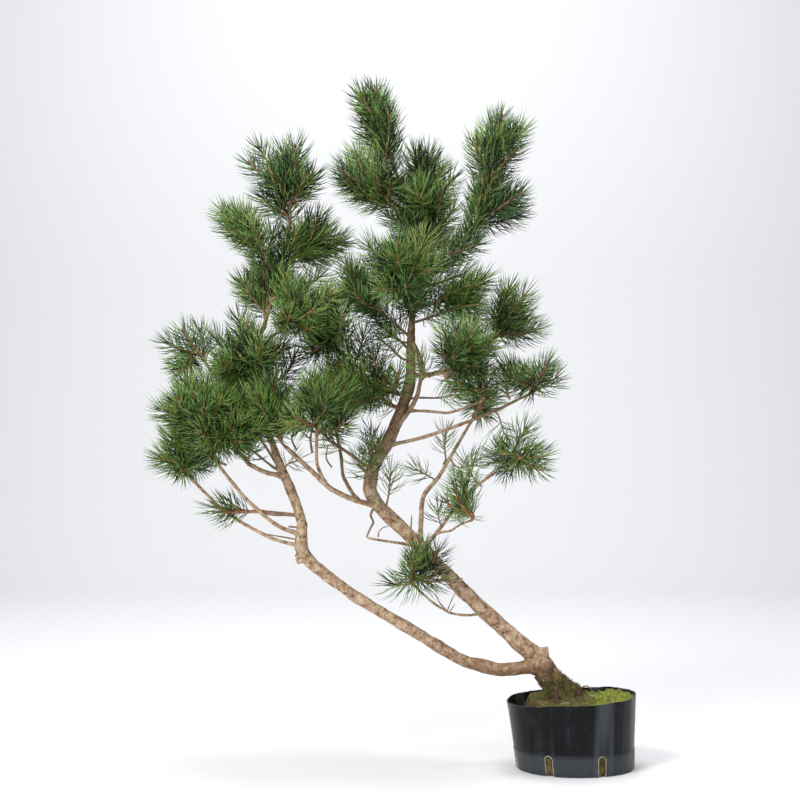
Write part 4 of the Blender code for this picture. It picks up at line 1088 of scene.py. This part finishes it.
class Paint:
    """A material whose colour is built up from noise, in places on the object."""

    def __init__(self, name, roughness, specular=None):
        self.material = bpy.data.materials.new(name)
        self.material.use_nodes = True
        self.tree = self.material.node_tree
        self.shader = self.tree.nodes["Principled BSDF"]
        self.fill(self.shader.inputs["Roughness"], roughness)
        if specular is not None:
            self.fill(self.shader.inputs["Specular IOR Level"], specular)

    def fill(self, socket, value):
        """Links another socket to this one, or sets its value."""
        if isinstance(value, bpy.types.NodeSocket):
            self.tree.links.new(value, socket)
        else:
            socket.default_value = value

    def node(self, kind, output, inputs=(), **settings):
        """The output of a new node with these settings and inputs."""
        node = self.tree.nodes.new(kind)
        for key, value in settings.items():
            setattr(node, key, value)
        for key, value in inputs:
            self.fill(node.inputs[key], value)
        return node.outputs[output]

    def noise(self, scale, detail, roughness, stretch=EVENLY):
        place = self.node("ShaderNodeTexCoord", "Object")
        vector = self.node("ShaderNodeMapping", "Vector", (("Vector", place), ("Scale", stretch)))
        inputs = (("Vector", vector), ("Scale", scale), ("Detail", detail), ("Roughness", roughness))
        return self.node("ShaderNodeTexNoise", "Fac", inputs)

    def ramp(self, source, stops):
        """A colour ramp over a node's output, from (place, colour) stops."""
        node = self.tree.nodes.new("ShaderNodeValToRGB")
        elements = node.color_ramp.elements
        elements.remove(elements[-1])
        for number, (place, colour) in enumerate(stops):
            element = elements.new(place) if number else elements[0]
            element.position = place
            element.color = (*colour, 1)
        self.fill(node.inputs["Fac"], source)
        return node.outputs["Color"]

    def patches(self, scale, low, high, detail, roughness=0.65, stretch=EVENLY):
        """Ragged spots: 0 outside and 1 inside, with an edge between two noise values."""
        return self.ramp(self.noise(scale, detail, roughness, stretch), ((low, BLACK), (high, WHITE)))

    def by_height(self, first, second):
        """1 at the first height and 0 at the second, and the same beyond them."""
        place = self.node("ShaderNodeTexCoord", "Object")
        height = self.node("ShaderNodeSeparateXYZ", "Z", (("Vector", place),))
        ends = (("From Min", first), ("From Max", second), ("To Min", 1.0), ("To Max", 0.0))
        return self.node("ShaderNodeMapRange", "Result", (("Value", height), *ends))

    def times(self, first, second):
        return self.node("ShaderNodeMath", 0, ((0, first), (1, second)), operation="MULTIPLY")

    def layered(self, colour, *layers):
        """A colour with others laid over it, each by a mask and a share."""
        for mask, share, top in layers:
            inputs = ((0, self.times(mask, share)), (6, colour), (7, (*top, 1)))
            colour = self.node("ShaderNodeMix", 2, inputs, data_type="RGBA")
        return colour

    def finished(self, colour, bump=(), stretch=EVENLY):
        """The material with its colour and its bump of one noise."""
        self.fill(self.shader.inputs["Base Color"], colour)
        if bump:
            *texture, strength, depth = bump
            inputs = (("Height", self.noise(*texture, stretch)), ("Strength", strength), ("Distance", depth))
            self.fill(self.shader.inputs["Normal"], self.node("ShaderNodeBump", "Normal", inputs))
        return self.material


def bark_material(name, fine, dark, mossy):
    """Pale flaking bark: cream plate faces, tan, brown hollows, dark flecks and grey-green lichen,
    and painted shade of the crown: darker and browner above 0.55 m. The mossy one is green and reddish at the
    trunk's foot."""
    paint = Paint(name, 0.9, 0.25)
    layers = [
        (paint.patches(58, 0.54, 0.62, 5), 0.30 * dark, (0.170, 0.095, 0.050)),
        (paint.patches(27, 0.55, 0.66, 6), 0.5, (0.33, 0.33, 0.21)),
        (paint.patches(190 * fine, 0.57, 0.63, 3), 0.75 * dark, (0.065, 0.036, 0.019)),
        # Painted shade of the crown: the bark turns darker and browner from 0.55 m up, fully above 0.64 m
        (paint.by_height(0.64, 0.55), 0.64 if mossy else 0.45, (0.135, 0.072, 0.034)),
    ]
    if mossy:
        reddish = paint.times(paint.by_height(0.172, 0.235), paint.patches(60, 0.38, 0.56, 5))
        layers += [
            (paint.by_height(0.130, 0.200), paint.patches(48, 0.40, 0.54, 6), (0.095, 0.080, 0.018)),
            (reddish, 0.85, (0.185, 0.092, 0.048)),
        ]
    colour = paint.layered(paint.ramp(paint.noise(84 * fine, 9, 0.74), BARK_COLOURS), *layers)
    return paint.finished(colour, (380 * fine, 6, 0.75, 0.8, 0.0009))


def soil_material():
    """Dark earth under olive and rusty patches."""
    paint = Paint("soil", 0.95)
    colour = paint.layered(
        paint.ramp(paint.noise(120, 8, 0.7), SOIL_COLOURS),
        (paint.patches(60, 0.42, 0.56, 5), 0.75, (0.155, 0.125, 0.022)),
        (paint.patches(42, 0.60, 0.68, 3, 0.5), 0.6, (0.16, 0.055, 0.02)),
    )
    return paint.finished(colour, (300, 6, 0.7, 0.7, 0.001))


def pot_material():
    """Black plastic with scuffs, pale streaks that run down (partly smears, partly painted reflection of soft
    highlights), a paler foot band and dust spots.
    """
    paint = Paint("pot_plastic", 0.5, 0.12)
    scuffs = paint.noise(38, 8, 0.72, (1, 1, 0.25))
    colour = paint.layered(
        paint.ramp(scuffs, POT_COLOURS),
        # Pale vertical streaks: partly smears, partly painted reflection standing in for the soft highlights
        # of the plastic
        (paint.patches(24, 0.50, 0.64, 2, 0.5, (1, 1, 0.05)), 0.8, (0.062, 0.070, 0.078)),
        # A paler foot band: lighter below 30 to 40 mm
        (paint.by_height(0.030, 0.040), 0.5, (0.075, 0.085, 0.095)),
        (paint.patches(20, 0.56, 0.74, 6, 0.7), 0.14, (0.110, 0.112, 0.110)),
    )
    paint.fill(paint.shader.inputs["Roughness"], paint.ramp(scuffs, POT_ROUGHNESS))
    return paint.finished(colour, (55, 3, 0.5, 0.12, 0.0012), (1, 1, 0.4))


def needle_material(name, colour):
    """Satin green that varies a little from needle to needle."""
    paint = Paint(name, 0.5, 0.22)
    darker = tuple(value * 0.65 for value in colour)
    lighter = tuple(min(value * 1.4 + 0.006, 1) for value in colour)
    tint = paint.ramp(paint.noise(240, 2, 0.5), ((0.34, darker), (0.50, colour), (0.66, lighter)))
    return paint.finished(tint, (900, 2, 0.5, 0.2, 0.0003))


def all_materials():
    materials = {
        "bark": bark_material("bark", 1.0, 1.0, True),
        "young_bark": bark_material("young_bark", 1.2, 0.5, False),
        "soil": soil_material(),
        "pot": pot_material(),
    }
    for name, texture, stops, roughness, bump in SPECKLED:
        paint = Paint(name, roughness)
        materials[name] = paint.finished(paint.ramp(paint.noise(*texture), stops), bump)
    for name, _, colour in GREENS:
        materials["needles_" + name] = needle_material("needles_" + name, colour)
    return materials


# Twigs, shoots and buds

BUD_ROWS = ((0, 0.8), (2.2, 1.75), (5, 1.7), (8, 0.9), (9.6, 0.15))
BUD_SINK = 1 * MM
SHOOT_SWELL = 1.3
SCAR_SPACING = 4 * MM
SCAR_SWELL = (0.9, 1.14)
SPARE_RING = 8 * MM
SHOOT_RING = 5 * MM
YOUNG_BARK = 1.05 * SHOOT_LENGTH
LEAST_BARE = 0.15
CONE_RING = 1.1 * MM
CONE_SIDES = 26
OLD_TWIG_SIDES = 8
SHOOT_SIDES = 7
FINE_SIDES = 6


def bud_rows(path):
    """A pointed bud on the end of a shoot."""
    end = path[-1, :3]
    way = unit(path[-1, :3] - path[-2, :3])
    return np.array([[*(end + way * (along * MM - BUD_SINK)), radius * MM] for along, radius in BUD_ROWS])


def scarred(rows, seed):
    """Closer rows whose thickness varies a little, as leaf scars make it."""
    rows = finer(rows, SCAR_SPACING)
    seeded = random.Random(seed)
    rows[1:-1, 3] *= [seeded.uniform(*SCAR_SWELL) for _ in range(len(rows) - 2)]
    return rows


def bare_and_clad(path):
    """The path's rows below its shoot and along it, where it is stouter."""
    total = lengths_along(path)[-1]
    rows = finer(path, SHOOT_RING)
    split = int(np.searchsorted(lengths_along(rows), max(total - YOUNG_BARK, LEAST_BARE * total)))
    clad = rows[min(split, len(rows) - 2) :].copy()
    clad[:, 3] *= SHOOT_SWELL
    return rows[: max(split + 1, 2)], clad


def make_twigs(grown, spare, materials):
    old = Pile()
    young = Pile()
    buds = Pile()
    for name, twigs, fine in grown:
        for place, path in enumerate(twigs):
            bare, clad = bare_and_clad(path)
            old.add(*tube(scarred(bare, f"{name} {place}"), OLD_TWIG_SIDES))
            young.add(*tube(scarred(clad, f"{name} {place} end"), SHOOT_SIDES))
            buds.add(*tube(bud_rows(path), FINE_SIDES))
        for place, path in enumerate(fine):
            young.add(*tube(scarred(path, f"{name} {place} fine"), FINE_SIDES))
            buds.add(*tube(bud_rows(path), FINE_SIDES))
    for number, path in enumerate(spare):
        old.add(*tube(scarred(path, f"spare {number}"), OLD_TWIG_SIDES))
    for foot, end in CONES:
        along = np.array(end) - np.array(foot)
        guides = [(*(np.array(foot) + along * share), radius) for share, radius in CONE_PROFILE]
        cone = smooth_path(guides, 1 * MM)
        old.add(*bark_limb(cone, CONE_RING, CONE_SIDES, *CONE_SCALES, str(foot)))
    old.piece("twigs_old", materials["twig"], "young_bark")
    young.piece("shoots_young", materials["shoot"], "young_bark")
    buds.piece("buds", materials["shoot"], "young_bark")


def grow_crown(paths):
    """Each mass with its twigs and fine shoots, and the spare twigs with their needled lengths."""
    crown = Crown(paths)
    stems = [grow_stem(number, crown, paths) for number in range(len(FOLIAGE))]
    for number, twigs in enumerate(stems):
        grow_twigs(number, crown, twigs)
    spare = []
    for points, radius, tip_radius, tuft in SPARE_TWIGS:
        spare.append((tapered_path(points, radius, tip_radius, SPARE_RING), tuft * MM))
        crown.take(spare[-1][0], "spare")
    grown = []
    for number, twigs in enumerate(stems):
        grown.append((FOLIAGE[number][0], twigs, grow_fine_shoots(number, crown, twigs)))
    return grown, spare


def clothed(grown, spare, paths):
    """The sprays of every shoot, each with its tone or None."""
    sprays = []
    for (name, twigs, fine), mass in zip(grown, FOLIAGE):
        seeded = random.Random(name + " sprays")
        needled, pitch, _ = mass[-1]
        tone = "light" if name in LIGHT_MASSES else None
        for path in twigs + fine:
            sprays.append((spray(path, needled * MM, pitch * MM, seeded), tone))
    for name, height in CLOTHED_LIMBS:
        seeded = random.Random(name + " clothed")
        path = paths[name][paths[name][:, 2] > height]
        if len(path) > 1:
            sprays.append((spray(path, 1.0, CLOTHED_PITCH, seeded, whole=True), None))
    seeded = random.Random("spare tufts")
    for path, tuft in spare:
        if tuft >= SHORT_TUFT:
            sprays.append((spray(path, tuft, PLUME_PITCH, seeded), None))
        elif tuft:
            sprays.append((spray(path, tuft, TUFT_PITCH, seeded), "light"))
    return [entry for entry in sprays if entry[0] is not None]


def make_crown(paths, materials):
    grown, spare = grow_crown(paths)
    make_twigs(grown, [path for path, _ in spare], materials)
    make_needles(clothed(grown, spare, paths), paths, materials)


# Pot

SLOT_TURNS = [SLOT_FIRST_ANGLE + 2 * math.pi * number / SLOT_COUNT for number in range(SLOT_COUNT)]
RIM_WAVES = ((1, 3, 0.6), (0.6, 7, 2), (0.2, 41, 0))  # height, number round the rim and phase
NICK_HEIGHT = 0.35
NICK_COUNT = 19
NICK_GROUPS = 5
SLOT_ROUND = 14
CUTTER_REACH = 12 * MM
CUTTER_DROP = 5 * MM
MIDDLE_HOLE = 0.5 * MM
INNER_ROUNDING = (6 * MM, 2 * MM)
WALL_RINGS = 14
WALL_SHARES = (0.1, 0.97)
BAND_RINGS = 6
SHARP_EDGE = math.radians(38)

# Points of the rim: share of the wall's thickness from outside, and drop. Of the foot band's
# upper edge: how far out and how far down. Of the foot's edge: how far out and how high
RIM_POINTS = ((1, 0.5 * MM), (0.75, 0), (0.25, 0), (0, 0.5 * MM))
BAND_POINTS = ((0.1 * MM, 0), (BAND_STEP, 0.7 * MM), (BAND_STEP, 1.5 * MM))
BAND_ENDS = (0.85 * BAND_HEIGHT, 2 * MM)
ABOVE_THE_BAND = 1.2 * MM
FOOT_POINTS = ((0.3 * MM, 0.5 * MM), (-1.2 * MM, 0))

# The pale lip of a slot: its height at the foot, its first angle on the arch, and its rows
BURR_FOOT = 1.5 * MM
BURR_ARCH = 0.2
BURR_SIDE_ROWS = 9
BURR_ARCH_ROWS = 12


def wall_radius(height):
    return FOOT_RADIUS + (RIM_RADIUS - FOOT_RADIUS) * height / POT_HEIGHT


def wall_lean(height):
    return POT_LEAN * height / POT_HEIGHT


def turned(profile, sides):
    """Points of a closed profile of (radius, height) turned round the upright axis."""
    angle = 2 * math.pi * np.arange(sides) / sides
    radii, heights = np.array(profile).T[:, :, None]
    around = (radii * np.cos(angle), radii * np.sin(angle), np.repeat(heights, sides, axis=1))
    return np.stack(around, -1).reshape(-1, 3)


def hand_cut(points):
    """Leans the pot's wall to the left and gives the rim its slope and its hand-cut waves."""
    x, y, z = points.T
    rise = z / POT_HEIGHT
    around = np.arctan2(y, x)
    wave = sum(high * np.sin(count * around + phase) for high, count, phase in RIM_WAVES)
    wave += NICK_HEIGHT * np.sin(NICK_COUNT * around + 1) * np.sin(NICK_GROUPS * around)
    z = z + rise**4 * (RIM_TILT * x / RIM_RADIUS + RIM_WAVE * wave)
    return np.column_stack([x + POT_LEAN * rise, y, z])


def pot_profile():
    """Closed profile from the floor's middle inside, up the inner wall, over the rim and down."""
    inner = wall_radius(POT_FLOOR) - POT_WALL
    low, high = WALL_SHARES
    round_in, round_up = INNER_ROUNDING
    profile = [(MIDDLE_HOLE, POT_FLOOR), (inner - round_in, POT_FLOOR), (inner, POT_FLOOR + round_up)]
    for height in POT_HEIGHT * np.linspace(low, high, WALL_RINGS):
        profile.append((wall_radius(height) - POT_WALL, height))
    for share, drop in RIM_POINTS:
        profile.append((RIM_RADIUS - POT_WALL * share, POT_HEIGHT - drop))
    for height in np.linspace(POT_HEIGHT * high, BAND_HEIGHT + ABOVE_THE_BAND, WALL_RINGS):
        profile.append((wall_radius(height), height))
    edge = wall_radius(BAND_HEIGHT)
    for out, drop in BAND_POINTS:
        profile.append((edge + out, BAND_HEIGHT - drop))
    for height in np.linspace(*BAND_ENDS, BAND_RINGS):
        profile.append((wall_radius(height) + BAND_STEP, height))
    for out, height in FOOT_POINTS:
        profile.append((FOOT_RADIUS + out, height))
    return profile + [(MIDDLE_HOLE, 0)]


def slot_cutter(turn):
    """An upright slot with a round top, as a closed prism that passes through the wall."""
    half = SLOT_WIDTH / 2
    arc = [math.pi * i / SLOT_ROUND for i in range(SLOT_ROUND + 1)]
    outline = [(-half, -CUTTER_DROP), (half, -CUTTER_DROP)]
    outline += [(half * math.cos(a), SLOT_TOP - half + half * math.sin(a)) for a in arc]
    out = Vector((math.sin(turn), -math.cos(turn), 0))
    along = Vector((math.cos(turn), math.sin(turn), 0))
    shape = bmesh.new()
    rings = []
    for depth in (FOOT_RADIUS - CUTTER_REACH, FOOT_RADIUS + CUTTER_REACH):
        rings.append([shape.verts.new(out * depth + along * x + Vector((0, 0, z))) for x, z in outline])
    shape.faces.new(rings[0])
    shape.faces.new(list(reversed(rings[1])))
    for k in range(len(outline)):
        after = (k + 1) % len(outline)
        shape.faces.new((rings[0][k], rings[1][k], rings[1][after], rings[0][after]))
    bmesh.ops.recalc_face_normals(shape, faces=shape.faces)
    mesh = bpy.data.meshes.new("slot_cutter")
    shape.to_mesh(mesh)
    shape.free()
    return bpy.data.objects.new("slot_cutter", mesh)


def make_pot(materials):
    edge = materials["pot_cut_edge"]
    pile = Pile()
    profile = pot_profile()
    pile.add(hand_cut(turned(profile, POT_SIDES)), ring_triangles(len(profile), POT_SIDES))
    pot = pile.piece("pot_shell", materials["pot"], "pot", ("pot",), smooth=False)
    group = bpy.data.collections.new("cutters")
    cutters = [slot_cutter(turn) for turn in SLOT_TURNS]
    for cutter in cutters:
        cutter.data.materials.append(edge)
        group.objects.link(cutter)
    pot.data.materials.append(edge)
    boolean = pot.modifiers.new("slots", "BOOLEAN")
    boolean.operation = "DIFFERENCE"
    boolean.operand_type = "COLLECTION"
    boolean.collection = group
    boolean.material_mode = "TRANSFER"
    graph = bpy.context.evaluated_depsgraph_get()
    cut = bpy.data.meshes.new_from_object(pot.evaluated_get(graph))
    pot.modifiers.clear()
    pot.data = cut
    for cutter in cutters:
        bpy.data.meshes.remove(cutter.data)
    bpy.data.collections.remove(group)
    cut.shade_smooth()
    cut.set_sharp_from_angle(angle=SHARP_EDGE)


def make_slot_burrs(materials):
    """The pale ragged lip that the hand-cut slots have on the outside."""
    half = SLOT_WIDTH / 2
    spring = SLOT_TOP - half
    arch = np.linspace(BURR_ARCH, math.pi - BURR_ARCH, BURR_ARCH_ROWS)
    outline = [(-half, height) for height in np.linspace(BURR_FOOT, spring, BURR_SIDE_ROWS)]
    outline += [(-half * math.cos(a), spring + half * math.sin(a)) for a in arch]
    outline += [(half, height) for height in np.linspace(spring, BURR_FOOT, BURR_SIDE_ROWS)]
    dice = np.random.default_rng(3)
    pile = Pile()
    for turn in SLOT_TURNS:
        rows = []
        for across, height in outline:
            radius = wall_radius(height) + BAND_STEP - BURR_SINK
            at = turn + across / radius
            thick = BURR_RADIUS * dice.uniform(*BURRS_VARY)
            rows.append((radius * math.sin(at) + wall_lean(height), -radius * math.cos(at), height, thick))
        pile.add(*tube(np.array(rows), FINE_SIDES))
    pile.piece("slot_burrs", materials["pot_cut_edge"], "pot")


# Soil and moss

SOIL_FOOT = 4 * MM
SOIL_TOP_GAP = 0.5 * MM
SOIL_SIDE_RINGS = 26
SOIL_SIDE_ROUGH = 1.1 * MM
SOIL_SIDE_LUMPS = 22
SOIL_SIDE_TALLNESS = 9
SOIL_FOOT_GAP = 1.6 * MM
CUSHION_SIZE = 12 * MM
CUSHION_HEIGHT = 8 * MM
TUFT_SIZE = 4 * MM
TUFT_HEIGHT = 2.2 * MM
CUSHION_SINK = 2.5 * MM

# Moss: its leaves, and where it is bright, olive or dry
LEAF_SCATTER = 0.38
MOSS_COUNT = 30000
MOSS_SIZES = ((1.6, 4.2), (0.45, 0.9))
MOSS_EDGE_GAP = 3 * MM
MOSS_PATCH = 18 * MM
PATCH_WEIGHT = 0.5
BRIGHT_EDGE = 5 * MM
BRIGHT_FADE = 45 * MM
FRONT_WEIGHT = 0.3
FRONT_EDGE = 60 * MM
FRONT_FADE = 30 * MM
BARE_MOUND = 17 * MM
BRIGHT_FROM = 0.42
DRY_BELOW = -0.3
SUNK_BELOW = -78 * MM

# Moss and scraps on the trunk's foot
LITTER_COUNT = 16000
LITTER_SIZES = ((1.6, 5.2), (0.5, 1.1))
LITTER_HEIGHTS = (114 * MM, 180 * MM)
LITTER_TOP = 178 * MM
LITTER_FADE = 42 * MM
LITTER_SCATTER = 1.2 * MM
LITTER_LIFT = 0.5
LITTER_PATCH = 15 * MM
LITTER_GREEN = (0.08, 0.15)
LITTER_LEFT = -75 * MM


def soil_height(x):
    dip = SOIL_DIP * smooth_step((SOIL_DIP_FROM - x) / SOIL_DIP_WIDTH)
    rise = MOSS_RISE * smooth_step((x - MOSS_FROM) / MOSS_WIDTH)
    return SOIL_LEVEL - dip + rise


def mound_height(x, y):
    """The heap of moss and scraps round the trunk's foot."""
    apart = math.hypot((x - MOUND_PLACE[0]) / MOUND_WIDTHS[0], (y - MOUND_PLACE[1]) / MOUND_WIDTHS[1])
    return MOUND_RISE * math.exp(-(apart**2))


def soil_surface(x, y):
    """Height of the mossy top, with its cushions and hollows."""
    at = Vector((x, y, 0))
    cushions = abs(noise.noise(at / CUSHION_SIZE)) * CUSHION_HEIGHT
    cushions += noise.noise(at / TUFT_SIZE) * TUFT_HEIGHT
    return float(soil_height(x)) + (cushions - CUSHION_SINK) + mound_height(x, y)


def make_soil(materials):
    """The root ball: a lumpy top that meets the wall, and a rough side that shows in the slots."""
    angle = 2 * math.pi * np.arange(SOIL_SIDES) / SOIL_SIDES
    rings = []
    for share in np.linspace(0.01, 1, SOIL_RINGS):
        radius = (wall_radius(SOIL_LEVEL) - POT_WALL - SOIL_SIDE_GAP) * share
        ring = []
        for a in angle:
            height = soil_surface(radius * math.cos(a) + POT_LEAN, radius * math.sin(a))
            inner = (wall_radius(height) - POT_WALL - SOIL_TOP_GAP) * share
            ring.append((inner * math.cos(a) + wall_lean(height), inner * math.sin(a), height))
        rings.append(ring)
    top = [point[2] for point in rings[-1]]
    for share in np.linspace(0.04, 1, SOIL_SIDE_RINGS):
        ring = []
        for a, height in zip(angle, top):
            z = height + (SOIL_FOOT - height) * share
            at = Vector((math.cos(a), math.sin(a), z * SOIL_SIDE_TALLNESS)) * SOIL_SIDE_LUMPS
            rough = SOIL_SIDE_ROUGH * noise.noise(at)
            radius = wall_radius(z) - POT_WALL - SOIL_FOOT_GAP + rough
            ring.append((radius * math.cos(a) + wall_lean(z), radius * math.sin(a), z))
        rings.append(ring)
    pile = Pile()
    pile.add(np.array(rings).reshape(-1, 3), ring_triangles(len(rings), SOIL_SIDES)[:, ::-1])
    pile.piece("root_ball", materials["soil"], "soil", ("soil",))


def leaf_piece(name, material, points, normals, sizes, dice):
    """A piece of small three-sided leaves on points, whose lengths and widths lie in ranges, mm."""
    count = len(points)
    lengths, widths = (dice.uniform(*size, count) * MM for size in sizes)
    ways = units(normals + dice.normal(0, LEAF_SCATTER, (count, 3)))
    first = units(np.cross(ways, dice.normal(0, 1, (count, 3))))
    corners = np.empty((count, 4, 3))
    corners[:, :3] = points[:, None] + spokes_round(first, np.cross(ways, first), 3) * widths[:, None, None]
    corners[:, 3] = points + ways * lengths[:, None]
    pile = Pile()
    pile.add(corners.reshape(-1, 3), copied(((0, 1, 3), (1, 2, 3), (2, 0, 3)), 4, count))
    pile.piece(name, material, "soil", smooth=False)


def make_moss(materials):
    """Bright moss at the right and in front, olive moss, and dry scraps in the hollow at the left."""
    dice = np.random.default_rng(11)
    radius = (RIM_RADIUS - POT_WALL - MOSS_EDGE_GAP) * np.sqrt(dice.uniform(0, 1, MOSS_COUNT))
    angle = dice.uniform(0, 2 * math.pi, MOSS_COUNT)
    x = radius * np.cos(angle) + POT_LEAN
    y = radius * np.sin(angle)
    z = np.array([soil_surface(a, b) for a, b in zip(x, y)])
    patch = np.array([noise.noise(Vector((a, b, 0.5)) / MOSS_PATCH) for a, b in zip(x, y)])
    bright = smooth_step((x - BRIGHT_EDGE) / BRIGHT_FADE) + PATCH_WEIGHT * patch
    bright += FRONT_WEIGHT * smooth_step((-y - FRONT_EDGE) / FRONT_FADE)
    bright -= np.array([mound_height(a, b) for a, b in zip(x, y)]) / BARE_MOUND
    sunk = x < SUNK_BELOW
    points = np.column_stack([x, y, z])
    for name, chosen in (
        ("moss_bright", (bright > BRIGHT_FROM) & ~sunk),
        ("moss_olive", (bright <= BRIGHT_FROM) & (bright > DRY_BELOW) & ~sunk),
        ("moss_dry", (bright <= DRY_BELOW) | sunk),
    ):
        leaf_piece(name, materials[name], points[chosen], UP, MOSS_SIZES, dice)


def make_flare_moss(materials):
    """Moss and flaking scraps on the trunk's foot, thinning out upwards."""
    bark = bpy.data.objects["trunk_bark"].data
    points, normals = (np.empty(len(bark.vertices) * 3, np.float32) for _ in range(2))
    bark.vertices.foreach_get("co", points)
    bark.vertex_normals.foreach_get("vector", normals)
    points, normals = (array.reshape(-1, 3).astype(float) for array in (points, normals))
    low, high = LITTER_HEIGHTS
    near = np.where((points[:, 2] < high) & (points[:, 2] > low) & (points[:, 0] > LITTER_LEFT))[0]
    dice = np.random.default_rng(5)
    picks = dice.choice(near, LITTER_COUNT)
    share = smooth_step((LITTER_TOP - points[picks, 2]) / LITTER_FADE)
    picks = picks[dice.uniform(0, 1, LITTER_COUNT) < share]
    spots = points[picks] + dice.normal(0, LITTER_SCATTER, (len(picks), 3))
    lean = normals[picks] + UP * LITTER_LIFT
    green = np.array([noise.noise(Vector(spot) / LITTER_PATCH) for spot in spots])
    green += dice.normal(*LITTER_GREEN, len(picks))
    for name, material, chosen in (
        ("flare_moss", "moss_olive", green > 0.0), ("flare_scraps", "moss_dry", green <= 0.0),
    ):
        leaf_piece(name, materials[material], spots[chosen], lean[chosen], LITTER_SIZES, dice)


# Bare roots and grass-like blades on the soil, mm: their points, radius at each end and material
SURFACE_ROOTS = (
    (((-80, -46, 104), (-78, -58, 122), (-70, -66, 126), (-60, -70, 120)), 1.3, 0.8, "twig"),
    (((-32, -48, 119), (-22, -52, 123), (-12, -50, 121)), 1.4, 0.8, "pale_root"),
    (((18, 18, 120), (29, 22, 124), (40, 20, 123)), 1.7, 0.9, "pale_root"),
    (((10, 50, 124), (18, 52, 135), (28, 54, 137), (36, 54, 129)), 1.5, 1.1, "twig"),
    (((-86, -50, 98), (-85, -56, 118), (-82, -61, 134)), 1.0, 0.3, "moss_olive"),
    (((-88, -50, 98), (-90, -58, 116), (-90, -66, 130)), 1.0, 0.3, "moss_bright"),
    (((-84, -52, 98), (-79, -60, 116), (-75, -66, 130)), 0.9, 0.3, "moss_dry"),
    (((-90, -46, 97), (-94, -52, 114), (-96, -58, 127)), 0.9, 0.3, "moss_dry"),
    (((-82, -54, 98), (-82, -62, 122), (-84, -70, 126), (-86, -76, 120)), 0.9, 0.3, "moss_olive"),
    (((-76, -54, 112), (-72, -62, 126), (-66, -70, 124), (-62, -76, 114)), 0.8, 0.5, "shoot"),
    (((-74, -50, 114), (-68, -58, 128), (-60, -66, 126), (-56, -74, 116)), 0.7, 0.5, "shoot"),
)


def make_surface_roots(materials):
    piles = {}
    for points, radius, tip_radius, name in SURFACE_ROOTS:
        rows = tapered_path(points, radius, tip_radius, 3 * MM)
        piles.setdefault(name, Pile()).add(*tube(rows, FINE_SIDES))
    for name, pile in piles.items():
        pile.piece("roots_" + name, materials[name], "soil")


# Camera, lights and floor

CROWN_PLACE = (-0.35, 0, 0.6)
POT_PLACE = (0, 0, 0.1)
FLOOR_HALF_WIDTH = 7.0
FLOOR_FRONT = -6.0
FLOOR_REAR = 3.2
FLOOR_DROP = 0.5 * MM
WALL_CURVE = 1.2
WALL_TOP = 6.0
WALL_COLOUR = (0.74, 0.745, 0.76, 1)
SKY_COLOUR = (0.97, 0.97, 1.0, 1)
SKY_STRENGTH = 0.15

# Lights: name, place, width, height, watts and the point that each faces
LIGHTS = (
    ("key", (-1.9, -2.4, 2.7), 1.3, 1.3, 100, CROWN_PLACE),
    ("top", (-0.2, 0.1, 3.3), 2.4, 2.4, 120, CROWN_PLACE),
    ("left_strip", (-1.85, -2.36, 0.7), 0.16, 1.3, 20, POT_PLACE),
    ("right_strip", (1.30, -2.70, 0.7), 0.10, 1.3, 12, POT_PLACE),
    ("wall", (-0.3, 2.4, 3.2), 3.0, 0.8, 53, (-0.3, 4.4, 0.9)),
)


def make_backdrop():
    """A floor that curves up into a wall behind the plant."""
    arc = np.linspace(0.1, math.pi / 2, 16)
    outline = [(FLOOR_FRONT, -FLOOR_DROP), (FLOOR_REAR, -FLOOR_DROP)]
    outline += [(FLOOR_REAR + WALL_CURVE * math.sin(a), WALL_CURVE * (1 - math.cos(a))) for a in arc]
    outline.append((FLOOR_REAR + WALL_CURVE, WALL_TOP))
    points = [(x, y, z) for y, z in outline for x in (-FLOOR_HALF_WIDTH, FLOOR_HALF_WIDTH)]
    faces = [(2 * i, 2 * i + 1, 2 * i + 3, 2 * i + 2) for i in range(len(outline) - 1)]
    mesh = bpy.data.meshes.new("backdrop")
    mesh.from_pydata(points, [], faces)
    mesh.shade_smooth()
    mesh.materials.append(Paint("backdrop", 0.9).finished(WALL_COLOUR))
    backdrop = bpy.data.objects.new("backdrop", mesh)
    bpy.context.scene.collection.objects.link(backdrop)


def make_stage():
    scene = bpy.context.scene
    camera = bpy.data.objects.new("camera", bpy.data.cameras.new("camera"))
    camera.data.lens = LENS
    camera.location = CAMERA_PLACE
    camera.rotation_euler = (math.radians(90), 0, 0)
    scene.collection.objects.link(camera)
    scene.camera = camera
    make_backdrop()
    for name, place, width, height, power, aim in LIGHTS:
        light = bpy.data.lights.new(name, "AREA")
        light.shape = "RECTANGLE"
        light.size = width
        light.size_y = height
        light.energy = power
        lamp = bpy.data.objects.new(name, light)
        lamp.location = place
        lamp.rotation_euler = (Vector(aim) - Vector(place)).to_track_quat("-Z", "Y").to_euler()
        scene.collection.objects.link(lamp)
    scene.world = bpy.data.worlds.new("world")
    scene.world.use_nodes = True
    background = scene.world.node_tree.nodes["Background"]
    background.inputs["Color"].default_value = SKY_COLOUR
    background.inputs["Strength"].default_value = SKY_STRENGTH
    scene.view_settings.view_transform = "Standard"


def main():
    make_stage()
    materials = all_materials()
    paths = limb_paths()
    make_bark(paths, materials)
    make_crown(paths, materials)
    make_pot(materials)
    make_slot_burrs(materials)
    make_soil(materials)
    make_moss(materials)
    make_flare_moss(materials)
    make_surface_roots(materials)


main()
